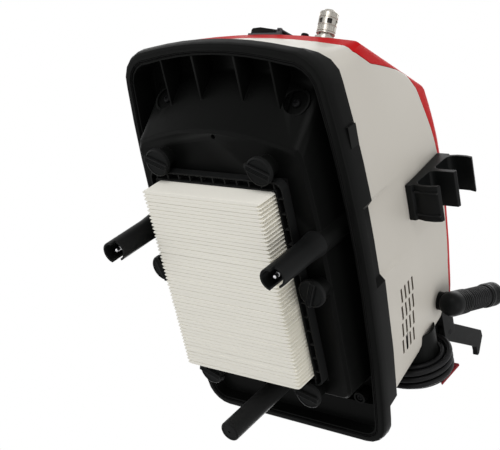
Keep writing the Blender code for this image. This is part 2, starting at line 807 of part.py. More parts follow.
def casing_screws():
    profile = [
        (0, 3 * mm),
        (SCREW_HEAD * 0.7, 3 * mm),
        (SCREW_HEAD, 1.5 * mm),
        (SCREW_HEAD, 0),
        (SCREW_SHANK, 0),
        (SCREW_SHANK, -SCREW_LENGTH),
        (0, -SCREW_LENGTH),
    ]
    for side, word in ((-1, "left"), (1, "right")):
        screw = turned(f"front_screw_{word}", profile, 12)
        spot, turn = dimple_frame(side)
        out = Matrix.Rotation(turn[0], 3, "X") @ Vector((0, 0, GAP - DIMPLE_DEPTH))
        place(screw, steel, head, Vector(spot) + out, turn)
        screw = turned(f"rear_screw_{word}", profile, 12)
        spot = (side * SCREW_BOSS[0], SCREW_BOSS[1], SCREW_BOSS_END + 4 * mm - GAP)
        place(screw, steel, head, spot, (math.pi, 0, 0))


# White and red housing

def red_border(shift):
    """Where red meets white, seen from the side, in y and z; a shift moves it up and forwards."""
    border = [
        (FRONT_FOOT - 40 * mm, LIP_LOW),
        (LIP_LOW_Y + 18 * mm, LIP_LOW),
        (NOSE_Y + 26 * mm, NOSE_Z - 8 * mm),
        (NOSE_Y + 42 * mm, NOSE_Z + 12 * mm),
        (NOSE_Y + 54 * mm, NOSE_Z + 39 * mm),
        (NOSE_Y + 64 * mm, NOSE_Z + 60 * mm),
        (NOSE_Y + 75 * mm, TOP - 76 * mm),
        (NOSE_Y + 90 * mm, TOP - 53 * mm),
        (NOSE_Y + 115 * mm, TOP - 35 * mm),
        (NOSE_Y + 153 * mm, TOP - 26 * mm),
        (NOSE_Y + 180 * mm, TOP - 20 * mm),
        (NOSE_Y + 227 * mm, TOP - 14 * mm),
        (BODY_REAR - 142 * mm, TOP - 17 * mm),
        (BODY_REAR - 109 * mm, TOP - 21 * mm),
        (BODY_REAR + 40 * mm, TOP - 24 * mm),
    ]
    return [(y - shift * 0.7, z + shift * 0.7) for y, z in border]


def red_region(name, shift):
    corners = [(BODY_REAR + 40 * mm, TOP + 60 * mm), (FRONT_FOOT - 40 * mm, TOP + 60 * mm)]
    made = outline_plate(name, red_border(shift) + corners, 4 * BODY_HALF)
    return place(made, None, head, (0, 0, 0), (math.pi / 2, 0, math.pi / 2))


def half_space(name, low, high):
    size = (4 * BODY_HALF, 6 * BODY_HALF, high - low)
    return place(box(name, size, (0, 0, (low + high) / 2)))


def shell_solid(name):
    """The housing's whole skin, open at its foot."""
    outer = body_rings(0, GAP)
    inner = body_rings(-BODY_WALL, GAP)
    shape = bmesh.new()
    skins = [[[shape.verts.new(point) for point in ring] for ring in side] for side in (outer, inner)]
    for skin in skins:
        shape.faces.new(skin[-1])
        for one, two in zip(skin, skin[1:]):
            for i in range(RING_POINTS):
                j = (i + 1) % RING_POINTS
                shape.faces.new((one[i], one[j], two[j], two[i]))
    for i in range(RING_POINTS):
        j = (i + 1) % RING_POINTS
        feet = skins[0][0], skins[1][0]
        shape.faces.new((feet[0][i], feet[0][j], feet[1][j], feet[1][i]))
    return from_bmesh(name, shape)


def vents():
    slots = []
    for row in range(VENT_COUNT):
        for column in range(VENT_COUNT):
            y = VENT_FIRST[0] + column * VENT_PITCH_Y
            z = VENT_FIRST[1] + row * VENT_PITCH_Z + VENT_SKEW * column * VENT_PITCH_Y
            slots.append(((4 * BODY_HALF, VENT_LENGTH, VENT_HEIGHT), (0, y, z)))
    return place(boxes("vent_slots", slots))


def housing():
    body = place(shell_solid("body_shell"), white)
    cut(body, red_region("red_low", -SEAM / 2), vents())
    neck = rod("neck_hole", ELBOW_NECK + GAP, 0, 2 * HOSE_X, ROUND, (ELBOW_Y, ELBOW_Z), "X")
    cut(body, place(neck))
    seam = SEAM_Z
    front = place(shell_solid("front_panel"), red)
    region = red_region("red_high", SEAM / 2)
    keep(front, region)
    cut(front, half_space("above_seam", seam, TOP + 50 * mm))
    cover = place(shell_solid("top_cover"), red)
    keep(cover, region)
    cut(cover, half_space("below_seam", 0, seam + SEAM))
    holes = (
        ("selector_hole", SELECTOR_PLACE, SELECTOR_STEM),
        ("button_hole", BUTTON_PLACE, BUTTON_RADIUS),
        ("coupler_hole", COUPLER_PLACE, COUPLER_SHANK),
    )
    for name, spot, radius in holes:
        hole = rod(name, radius + GAP, -20 * mm, 20 * mm, 16)
        cut(front, place(hole, None, panel, on_panel(*spot)))
    half_x, half_v = (half - SOCKET_RIM + GAP for half in SOCKET_HALF)
    hole = box("socket_hole", (2 * half_x, 2 * half_v, 40 * mm))
    cut(front, place(hole, None, panel, on_panel(*SOCKET_PLACE)))
    return body, front, cover


# Filter, gasket and knobs

def ring_box(name, half_x, half_y, hole_x, hole_y, low, high, centre_y):
    made = box(name, (2 * half_x, 2 * half_y, high - low), (0, centre_y, (low + high) / 2))
    size = (2 * hole_x, 2 * hole_y, 4 * (high - low))
    cut(made, place(box(name + "_hole", size, (0, centre_y, (low + high) / 2))))
    return made


def filter_set():
    seat = BLOCK_FACE - GAP
    gasket = ring_box(
        "filter_gasket",
        FRAME_HALF_X - mm,
        FRAME_HALF_Y - mm,
        PACK_HALF_X,
        PACK_HALF_Y,
        seat - GASKET,
        seat,
        FILTER_MID_Y,
    )
    place(gasket, rubber)
    top = seat - GASKET - GAP
    hole_x = PACK_HALF_X + GAP
    hole_y = PACK_HALF_Y + GAP
    frame = ring_box(
        "filter_frame", FRAME_HALF_X, FRAME_HALF_Y, hole_x, hole_y, top - FRAME_DEPTH, top, FILTER_MID_Y
    )
    place(frame, black)
    pockets = []
    width_x = FRAME_HALF_X - hole_x - 2 * FRAME_EDGE
    width_y = FRAME_HALF_Y - hole_y - 2 * FRAME_EDGE
    mid_x = (FRAME_HALF_X + hole_x) / 2
    mid_y = (FRAME_HALF_Y + hole_y) / 2
    count = round(2 * FRAME_HALF_Y / POCKET_PITCH)
    pitch = (2 * FRAME_HALF_Y - 2 * FRAME_EDGE + POCKET_WALL) / count
    low = top - FRAME_DEPTH - 5 * mm
    high = top - FRAME_PLATE
    for i in range(count):
        y = FILTER_MID_Y - FRAME_HALF_Y + FRAME_EDGE + pitch * (i + 0.5) - POCKET_WALL / 2
        for side in (-1, 1):
            size = (width_x, pitch - POCKET_WALL, high - low)
            pockets.append((size, (side * mid_x, y, (low + high) / 2)))
    inner = 2 * (hole_x + FRAME_EDGE - POCKET_WALL)
    count = round(inner / POCKET_PITCH)
    pitch = (inner - POCKET_WALL) / count
    for i in range(count):
        x = -inner / 2 + POCKET_WALL / 2 + pitch * (i + 0.5)
        for side in (-1, 1):
            size = (pitch - POCKET_WALL, width_y, high - low)
            y = FILTER_MID_Y + side * mid_y
            pockets.append((size, (x, y, (low + high) / 2)))
    cut(frame, place(boxes("frame_pockets", pockets)))
    filter_pleats(top - FRAME_PLATE / 2)


def filter_pleats(top):
    low = top - PACK_DEPTH - FRAME_PLATE
    pitch = 2 * PACK_HALF_Y / PLEATS
    outline = [(PACK_HALF_Y, top), (-PACK_HALF_Y, top)]
    for i in range(PLEATS):
        y = -PACK_HALF_Y + pitch * i
        outline.append((y, low + PLEAT_DEPTH))
        outline.append((y + pitch / 2, low))
    outline.append((PACK_HALF_Y, low + PLEAT_DEPTH))
    made = outline_plate("filter_pleats", outline, 2 * PACK_HALF_X)
    turn = (math.pi / 2, 0, math.pi / 2)
    place(made, paper, head, (0, FILTER_MID_Y, 0), turn)


def filter_knobs():
    """Each knob turns on its own stem in its boss, and clamps the frame's edge."""
    for number, (x, y) in enumerate(knob_spots(), 1):
        profile = [
            (0, KNOB_STEM_LENGTH),
            (KNOB_STEM, KNOB_STEM_LENGTH),
            (KNOB_STEM, 0),
            (KNOB_RADIUS, 0),
            (KNOB_RADIUS, -KNOB_THICK + mm),
            (KNOB_RADIUS - mm, -KNOB_THICK),
            (0, -KNOB_THICK),
        ]
        knob = turned(f"filter_knob_{number}", profile, 20)
        size = (2 * KNOB_RADIUS - 5 * mm, 7 * mm, KNOB_GRIP + 2 * mm)
        grip = box("grip", size, (0, 0, -KNOB_THICK - KNOB_GRIP + size[2] / 2))
        place(knob, black, head, (x, y, KNOB_TOP))
        join(knob, place(grip, None, head, (x, y, KNOB_TOP)))


# Feet

def guard_profile():
    top = BLOCK_FACE - GAP
    return [
        (0, top),
        (GUARD_ROOT, top),
        (GUARD_RADIUS, top - GUARD_TAPER),
        (GUARD_RADIUS, FOOT_Z),
        (GUARD_BORE, FOOT_Z),
        (GUARD_BORE, GUARD_BORE_TOP),
        (0, GUARD_BORE_TOP),
    ]


def feet():
    for side, word in ((-1, "left"), (1, "right")):
        guard = turned(f"electrode_guard_{word}", guard_profile())
        spot = (side * GUARD_X, GUARD_Y, 0)
        place(guard, black, head, spot)
        size = (GUARD_RADIUS + 5 * mm, 3 * GUARD_RADIUS, 2 * GUARD_NOTCH)
        notch = box("guard_notch", size, (size[0] / 2 + 3 * mm, 0, FOOT_Z))
        low = FOOT_Z - 5 * mm
        high = GUARD_BORE_TOP - 14 * mm
        size = (GUARD_SLOT, GUARD_RADIUS, high - low)
        slot = box("guard_slot", size, (0, GUARD_RADIUS, (low + high) / 2))
        cut(guard, place(notch, None, head, spot), place(slot, None, head, spot))
        profile = [
            (0, GUARD_BORE_TOP - GAP),
            (GUARD_BORE - GAP, GUARD_BORE_TOP - GAP),
            (GUARD_BORE - GAP, GUARD_BORE_TOP - 6 * mm),
            (ELECTRODE_RADIUS, GUARD_BORE_TOP - 8 * mm),
            (ELECTRODE_RADIUS, ELECTRODE_TIP + mm),
            (ELECTRODE_RADIUS - mm, ELECTRODE_TIP),
            (0, ELECTRODE_TIP),
        ]
        place(turned(f"electrode_{word}", profile, 12), steel, head, spot)
    top = CEILING - GAP
    profile = [
        (0, FOOT_Z + POST_WALL),
        (POST_RADIUS - POST_WALL, FOOT_Z + POST_WALL),
        (POST_RADIUS - POST_WALL, top),
        (POST_RADIUS, top),
        (POST_RADIUS, FOOT_Z + mm),
        (POST_RADIUS - mm, FOOT_Z),
        (0, FOOT_Z),
    ]
    made = turned("support_post", profile)
    place(made, black, head, (0, POST_Y, 0))


# Accessory clip

def accessory_clip():
    """A plate on the side wall with three fins, which are drawn in at their tips."""
    low = CLIP_LOW - CLIP_MARGIN
    high = CLIP_LOW + 2 * CLIP_PITCH + CLIP_MARGIN
    root = CLIP_PLATE
    outline = [(BODY_HALF - 30 * mm, low), (root, low)]
    for number in range(3):
        z = CLIP_LOW + number * CLIP_PITCH
        bend = (1 - number) * CLIP_CROWN
        half = CLIP_MIDDLE_FIN / 2 if number == 1 else CLIP_FIN / 2
        span = CLIP_REACH - root
        shares = (0.06, 0.35, 0.7, 0.95) if bend else (0.06, 0.95)
        for share in shares:
            outline.append((root + span * share, z - half - bend * math.sin(math.pi * share)))
        outline.append((CLIP_REACH, z + bend * 0.6))
        for share in reversed(shares):
            outline.append((root + span * share, z + half - bend * math.sin(math.pi * share)))
    outline += [(root, high), (BODY_HALF - 30 * mm, high)]
    made = outline_plate("accessory_clip", outline, CLIP_LENGTH)
    place(made, black, head, (0, CLIP_MID_Y, 0), (math.pi / 2, 0, 0))
    cut(made, wall_cutter)
    return made


# Control panel

def on_panel(x, v, w=0.0):
    """A place on the arched panel, in panel coordinates; w is above its surface."""
    arch = BODY_ARCH * (x / (BODY_HALF - BODY_FRONT_LESS - (NOSE_Z - SIDE_SKIRT) * BODY_DRAFT)) ** 2
    return (x, v + arch * math.cos(PANEL_TILT), w - arch * math.sin(PANEL_TILT))


def skin_cutter(name, spot, half_x, half_v, hole=None):
    """The housing's skin and inside around a panel piece, but not the hole that the piece fills."""
    made = box(name, (2 * half_x, 2 * half_v, 40 * mm), (0, 0, -18 * mm))
    place(made, None, panel, spot)
    keep(made, wall_cutter)
    if hole is not None:
        cut(made, place(hole, None, panel, spot))
    return made


def selector():
    spot = on_panel(*SELECTOR_PLACE)
    low = 1.5 * mm
    high = low + SELECTOR_HEIGHT
    profile = [
        (0, high),
        (SELECTOR_RADIUS - 3 * mm, high),
        (SELECTOR_RADIUS - mm, high - 2 * mm),
        (SELECTOR_RADIUS, low + mm),
        (SELECTOR_RADIUS, low),
        (SELECTOR_STEM, low),
        (SELECTOR_STEM, -12 * mm),
        (0, -12 * mm),
    ]
    knob = turned("selector_knob", profile)
    place(knob, black, panel, spot)
    size = (3 * mm, SELECTOR_RADIUS, 2.4 * mm)
    mark = box("pointer", size, (0, SELECTOR_RADIUS / 2 - 2 * mm, high))
    join(knob, place(mark, None, panel, spot))


def button():
    profile = [
        (0, BUTTON_HEIGHT),
        (BUTTON_RADIUS - mm, BUTTON_HEIGHT),
        (BUTTON_RADIUS, BUTTON_HEIGHT - mm),
        (BUTTON_RADIUS, -BODY_WALL - 3 * GAP),
        (BUTTON_FLANGE, -BODY_WALL - 3 * GAP),
        (BUTTON_FLANGE, -BODY_WALL - 3 * GAP - 2 * mm),
        (0, -BODY_WALL - 3 * GAP - 2 * mm),
    ]
    place(turned("panel_button", profile, 20), red, panel, on_panel(*BUTTON_PLACE))


def coupler():
    spot = on_panel(*COUPLER_PLACE)
    profile = [
        (COUPLER_CORE - 1.5 * mm, COUPLER_LENGTH),
        (COUPLER_CORE, COUPLER_LENGTH - 2 * mm),
        (COUPLER_CORE, COUPLER_SEAT + mm),
        (COUPLER_FLANGE, COUPLER_SEAT),
        (COUPLER_FLANGE, -6 * mm),
        (COUPLER_SHANK, -6 * mm),
        (COUPLER_SHANK, -16 * mm),
        (COUPLER_BORE, -16 * mm),
        (COUPLER_BORE, COUPLER_LENGTH),
    ]
    core = turned("coupler_body", profile, ROUND, ring=True)
    place(core, nickel, panel, spot)
    hole = rod("coupler_neck", COUPLER_SHANK, -60 * mm, 40 * mm)
    half = COUPLER_FLANGE + 5 * mm
    cut(core, skin_cutter("coupler_skin", spot, half, half, hole))
    inside = COUPLER_CORE + GAP
    profile = [
        (COUPLER_SLEEVE, SLEEVE_TO),
        (COUPLER_SLEEVE, SLEEVE_FROM),
        (inside, SLEEVE_FROM),
        (inside, SLEEVE_TO),
    ]
    sleeve = turned("coupler_sleeve", profile, ROUND, ring=True)
    place(sleeve, nickel, panel, spot)
    middle = (WINDOW_FROM + WINDOW_TO) / 2
    for number in range(3):
        size = (3 * COUPLER_SLEEVE, WINDOW, WINDOW_TO - WINDOW_FROM)
        bar = box("window", size)
        turn = (0, 0, math.pi / 3 * number)
        cut(sleeve, place(bar, None, panel, Vector(spot) + Vector((0, 0, middle)), turn))


def lid_pin_place():
    """The lid's hinge line: its x and w from the socket's middle."""
    return SOCKET_HALF[0] - LID_BARREL, SOCKET_RIM + GAP + LID_BARREL


def socket():
    """A panel socket in its rim, under a lid that is hinged on a pin along its right edge."""
    spot = on_panel(*SOCKET_PLACE)
    half_x, half_v = SOCKET_HALF
    deep = SOCKET_DEPTH + 4 * mm
    size = (2 * (half_x - SOCKET_RIM), 2 * (half_v - SOCKET_RIM), SOCKET_RIM + deep)
    body = box("socket_insert", size, (0, 0, (SOCKET_RIM - deep) / 2))
    place(body, grey, panel, spot)
    plate = box("socket_plate", (2 * half_x, 2 * half_v, 9 * mm), (0, 0, SOCKET_RIM - 4.5 * mm))
    place(plate, None, panel, spot)
    cut(plate, skin_cutter("socket_skin", spot, 1.5 * half_x, 1.5 * half_v))
    join(body, plate)
    well = rod("socket_well", SOCKET_WELL, SOCKET_RIM - SOCKET_DEPTH, 20 * mm)
    cut(body, place(well, None, panel, spot))
    for side in (-1, 1):
        hole = rod("contact_hole", 2.6 * mm, -SOCKET_DEPTH - mm, 0, 10, (side * 9.5 * mm, 0))
        cut(body, place(hole, None, panel, spot))
    x, w = lid_pin_place()
    ear_length = 4 * mm
    for side in (-1, 1):
        size = (2 * LID_BARREL, ear_length, w + LID_BARREL)
        centre = (x, side * (half_v - ear_length / 2), size[2] / 2)
        join(body, place(box("lid_ear", size, centre), None, panel, spot))
    hole = rod("lid_pin_hole", LID_PIN + GAP, -2 * half_v, 2 * half_v, 10, (x, w), "Y")
    cut(body, place(hole, None, panel, spot))
    pin = rod("lid_pin", LID_PIN, -half_v, half_v, 10, (x, w), "Y")
    place(pin, steel, panel, spot)
    low = SOCKET_RIM + GAP
    edge = -half_x + 0.5 * mm
    outline = [
        (edge, low),
        (x, low),
        (x, low + 2 * LID_BARREL),
        (x - 9 * mm, low + 2 * LID_BARREL - 0.4 * mm),
        (edge + 14 * mm, low + LID_HIGH),
        (edge + 2 * mm, low + LID_HIGH - mm),
        (edge, low + LID_HIGH - 3 * mm),
    ]
    inner_v = half_v - ear_length - GAP
    lid = outline_plate("socket_lid", outline, 2 * inner_v)
    turn = (math.pi / 2, 0, 0)
    place(lid, black, panel, spot, turn)
    barrel = rod("lid_barrel", LID_BARREL, -inner_v, inner_v, 14, (x, w), "Y")
    hole = rod("barrel_hole", LID_PIN + GAP, -half_v, half_v, 10, (x, w), "Y")
    join(lid, place(barrel, None, panel, spot))
    cut(lid, place(hole, None, panel, spot))


# Suction hose

def hose_frame(along):
    """A place along the hose axis, measured from the elbow's middle."""
    return (HOSE_X, ELBOW_Y + along * math.sin(HOSE_LEAN), ELBOW_Z + along * math.cos(HOSE_LEAN))


def suction_hose():
    turn = (-HOSE_LEAN, 0, 0)
    centre = hose_frame(0)
    profile = [
        (0, COLLAR_LENGTH),
        (ELBOW_RADIUS, COLLAR_LENGTH),
        (ELBOW_RADIUS, ELBOW_FOOT + 9 * mm),
        (ELBOW_RADIUS - 3 * mm, ELBOW_FOOT + 3 * mm),
        (ELBOW_RADIUS - 9 * mm, ELBOW_FOOT),
        (0, ELBOW_FOOT),
    ]
    elbow = place(turned("hose_elbow", profile), black, head, centre, turn)
    neck = rod("elbow_neck", ELBOW_NECK, -NECK_LENGTH, 0, 20, axis="X")
    join(elbow, place(neck, None, head, centre))
    bore = rod("elbow_bore", ELBOW_BORE, -2 * NECK_LENGTH, 0, 16, axis="X")
    up = rod("collar_bore", HOSE_BORE, ELBOW_FOOT / 2, 2 * COLLAR_LENGTH, 16)
    cut(elbow, place(bore, None, head, centre), place(up, None, head, centre, turn))

    start = COLLAR_LENGTH + GAP
    length = 2 * HOSE_END + HOSE_RIBS * HOSE_PITCH
    profile = [(HOSE_RADIUS - HOSE_RIB, length)]
    first = HOSE_END
    for i in range(HOSE_RIBS, 0, -1):
        z = first + i * HOSE_PITCH
        profile.append((HOSE_RADIUS - HOSE_RIB, z))
        profile.append((HOSE_RADIUS, z - HOSE_PITCH / 2))
    profile.append((HOSE_RADIUS - HOSE_RIB, first))
    profile.append((HOSE_RADIUS - HOSE_RIB, 0))
    hose = turned("suction_hose", profile + [(HOSE_BORE, 0), (HOSE_BORE, length)], 16, ring=True)
    place(hose, rubber, head, hose_frame(start), turn)
    end = start + length
    profile = [
        (CUFF_RADIUS - mm, CUFF_LENGTH),
        (CUFF_RADIUS, CUFF_LENGTH - mm),
        (CUFF_RADIUS - mm, 0),
        (HOSE_BORE, 0),
        (HOSE_BORE, CUFF_LENGTH),
    ]
    cuff = turned("hose_cuff", profile, 20, ring=True)
    place(cuff, black, head, hose_frame(end + GAP), turn)


# Hanger arm

def hanger():
    """A flat arm that swings on a pin in its bracket."""
    half = ARM_WIDTH / 2
    arm_turn = (math.pi / 2 - ARM_LEAN, 0, 0)
    outline = []
    for i in range(9):
        turn = math.pi / 2 + math.pi * i / 8
        outline.append((half * math.cos(turn), half * math.sin(turn)))
    tip = ARM_LENGTH
    outline += [
        (tip - 8 * mm, -half),
        (tip, -half + 8 * mm),
        (tip, half + ARM_HOOK - 3 * mm),
        (tip - 3 * mm, half + ARM_HOOK),
        (tip - 6 * mm, half + ARM_HOOK),
        (tip - 9 * mm, half + 6 * mm),
        (tip - 15 * mm, half),
    ]
    arm = outline_plate("hanger_arm", outline, ARM_THICK)
    pivot = empty("arm_pivot", head, (ARM_X, ARM_PIVOT_Y, ARM_PIVOT_Z))
    # The outline's x runs along the arm, and its y across it, backwards.
    place(arm, black, pivot, (0, 0, 0))
    arm.rotation_mode = "QUATERNION"
    along = Vector((0, math.sin(ARM_LEAN), math.cos(ARM_LEAN)))
    across = Vector((0, math.cos(ARM_LEAN), -math.sin(ARM_LEAN)))
    turn = Matrix((along, across, along.cross(across))).transposed()
    arm.rotation_quaternion = turn.to_quaternion()
    hole = rod("arm_hole", ARM_PIN + GAP, -ARM_THICK, ARM_THICK, 12, axis="X")
    cut(arm, place(hole, None, pivot))
    cheek = 3 * mm
    wide = ARM_THICK + 2 * cheek + 4 * GAP
    high = ARM_WIDTH + 2 * mm
    deep = ARM_PIVOT_Y + 7 * mm - REAR_ROOT
    bracket = box("hanger_bracket", (wide, deep, high), (0, 7 * mm - deep / 2, 0))
    place(bracket, black, pivot)
    size = (ARM_THICK + 4 * GAP, 2 * half + 3 * mm, 2 * high)
    gap_centre = (0, 7 * mm - half + 2 * mm + 2 * mm, 0)
    slot = box("bracket_slot", size, gap_centre)
    hole = rod("bracket_hole", ARM_PIN + GAP, -wide, wide, 12, axis="X")
    cut(bracket, wall_cutter, place(slot, None, pivot), place(hole, None, pivot))
    pin = rod("hanger_pin", ARM_PIN, -wide / 2, wide / 2, 12, axis="X")
    place(pin, steel, pivot)


# Cord, hooks, gland and plug

HANK_OUTER = HANK_INNER + HANK_PITCH
HANK_FAR_Y = HANK_NEAR_Y + LOOPS_A_LAYER * HANK_PITCH


def loop_point(station, radius):
    """A point of a long loop with round ends; stations run from the middle of its foot to +x."""
    half = HANK_SPAN / 2
    edges = STATIONS // 2
    start = STRAIGHT_STATIONS / 2
    round_steps = edges - STRAIGHT_STATIONS
    station %= STATIONS
    side = 1
    if station >= edges:
        station -= edges
        side = -1
    if station <= start:
        x, z = half * station / start, -radius
    elif station >= start + round_steps:
        x, z = half * (edges - station) / start, radius
    else:
        turn = math.pi * (station - start) / round_steps
        x, z = half + radius * math.sin(turn), -radius * math.cos(turn)
    return side * x, side * z


def hank_points():
    """Loops go out side by side, climb on top of themselves in a half turn, and come back."""
    points = []
    for station in range(round((2 * LOOPS_A_LAYER + 0.5) * STATIONS) + 1):
        gone = station / STATIONS
        climb = min(1, max(0, (gone - LOOPS_A_LAYER) / 0.5))
        out = min(gone, LOOPS_A_LAYER) - max(0, gone - LOOPS_A_LAYER - 0.5)
        radius = HANK_INNER + HANK_PITCH * climb * climb * (3 - 2 * climb)
        x, z = loop_point(station, radius)
        points.append(Vector((x, HANK_NEAR_Y + HANK_PITCH * out, HANK_MID_Z + z)))
    return points


def s_bend(start, end, straight, count):
    """From start along x to end along x: straight, two equal arcs one after the other, straight."""
    ahead = math.copysign(1, end.x - start.x)
    drop = end.z - start.z
    run = abs(end.x - start.x) - 2 * straight
    radius = (run**2 + drop**2) / (4 * abs(drop))
    sweep = 2 * math.atan2(abs(drop), run)
    points = [start]
    for i in range(2 * count + 1):
        turn = sweep * i / count
        if i <= count:
            along, up = radius * math.sin(turn), radius * (1 - math.cos(turn))
        else:
            turn = 2 * sweep - turn
            along = run - radius * math.sin(turn)
            up = abs(drop) - radius * (1 - math.cos(turn))
        share = (straight + along) / (run + 2 * straight)
        y = start.y + (end.y - start.y) * share
        x = start.x + ahead * (straight + along)
        points.append(Vector((x, y, start.z + math.copysign(up, drop))))
    return points + [end]


def run_length(points):
    return sum((two - one).length for one, two in zip(points, points[1:]))


def least_gap(points):
    """The least gap of a tube along these points to itself, more than half a loop apart."""
    best = 1
    apart = STATIONS // 2
    for i, one in enumerate(points):
        for a, b in zip(points[i + apart :], points[i + apart + 1 :]):
            line = b - a
            share = min(1, max(0, (one - a).dot(line) / line.length_squared))
            best = min(best, (one - a - line * share).length)
    return best - CORD


def cord_set():
    loops = hank_points()
    place(tube("cord_hank", loops, CORD / 2, 1), rubber)
    ahead = Vector((GAP, 0, 0))
    tip = Vector((GLAND_TIP_X, HANK_NEAR_Y, HANK_MID_Z))
    lead = s_bend(tip + ahead, loops[0] - ahead, STRAIGHT_LEAD, 3)
    place(tube("cord_lead", lead, CORD / 2, 2), rubber)
    plug_z = HANK_MID_Z + HANK_OUTER + CORD / 2 + PLUG_RADIUS + 2 * GAP
    plug_tip = Vector((PLUG_X, loops[-1].y, plug_z))
    tail = s_bend(loops[-1] - ahead, plug_tip, STRAIGHT_LEAD, 3)
    place(tube("cord_tail", tail, CORD / 2, 2), rubber)
    total = run_length(lead) + run_length(loops) + run_length(tail)
    print(f"cord length {total:.3f} m, least gap of the hank to itself {least_gap(loops) / mm:.2f} mm")
    gland(tip)
    plug(plug_tip)
    hooks()


def gland(tip):
    """A block on the rear wall with a tapered sleeve, out of which the cord comes sideways."""
    size = (GLAND_BOX, GLAND_ROOT, GLAND_BOX)
    centre = (tip.x - GLAND_LENGTH - GLAND_BOX / 2, tip.y - size[1] / 2 + GLAND_BOX / 2, tip.z)
    made = place(box("cord_gland", size, centre), black)
    sleeve = bmesh.new()
    bmesh.ops.create_cone(
        sleeve,
        cap_ends=True,
        segments=16,
        radius1=9 * mm,
        radius2=6 * mm,
        depth=GLAND_LENGTH + 5 * mm,
        matrix=Matrix.Rotation(math.pi / 2, 4, "Y"),
    )
    spot = (tip.x - (GLAND_LENGTH + 5 * mm) / 2, tip.y, tip.z)
    join(made, place(from_bmesh("gland_sleeve", sleeve), None, head, spot))
    cut(made, wall_cutter)


def plug(tip):
    profile = [
        (0, 0),
        (6 * mm, 0),
        (8 * mm, -6 * mm),
        (PLUG_RADIUS - 3 * mm, -14 * mm),
        (PLUG_RADIUS, -24 * mm),
        (PLUG_RADIUS, -PLUG_LENGTH),
        (0, -PLUG_LENGTH),
    ]
    made = turned("cord_plug", profile, 20)
    turn = (0, math.pi / 2, 0)
    place(made, rubber, head, tip - Vector((GAP, 0, 0)), turn)
    for side in (-1, 1):
        pin = rod("plug_pin", 2.4 * mm, -PLUG_LENGTH - PIN_LENGTH, -PLUG_LENGTH + 3 * mm, 10, (0, side * 9.5 * mm))
        join(made, place(pin, None, head, tip - Vector((GAP, 0, 0)), turn))


def hooks():
    """A half drum on the rear wall that holds the loops' inside, with a lip over their outer side."""
    drum = HANK_INNER - CORD / 2 - 2 * GAP
    far = HANK_FAR_Y + CORD / 2 + 2 * GAP
    for side, word in ((-1, "left"), (1, "right")):
        x = side * HANK_SPAN / 2
        centre = (x, HANK_MID_Z)
        made = rod(f"cable_hook_{word}", drum, REAR_ROOT, far + HOOK_LIP, 28, centre, "Y")
        place(made, dark_red)
        size = (HOOK_LIP_REACH, HOOK_LIP, HOOK_LIP_WIDTH)
        lip_z = HANK_MID_Z + HOOK_LIP_RISE
        lip = box("hook_lip", size, (x + side * HOOK_LIP_REACH / 2, far + HOOK_LIP / 2, lip_z))
        join(made, place(lip))
        low = REAR_ROOT - 25 * mm
        hollow = rod("hook_hollow", drum - HOOK_WALL, low, far + 2 * HOOK_LIP, 28, centre, "Y")
        size = (2 * drum, 0.2, 3 * drum)
        other_half = box("hook_half", size, (x - side * drum, HANK_NEAR_Y, HANK_MID_Z))
        cut(made, place(hollow), place(other_half), wall_cutter)


# Motor, fan, magnet and board

def on_motor(made, finish):
    return place(made, finish, head, (0, MOTOR_Y, 0))


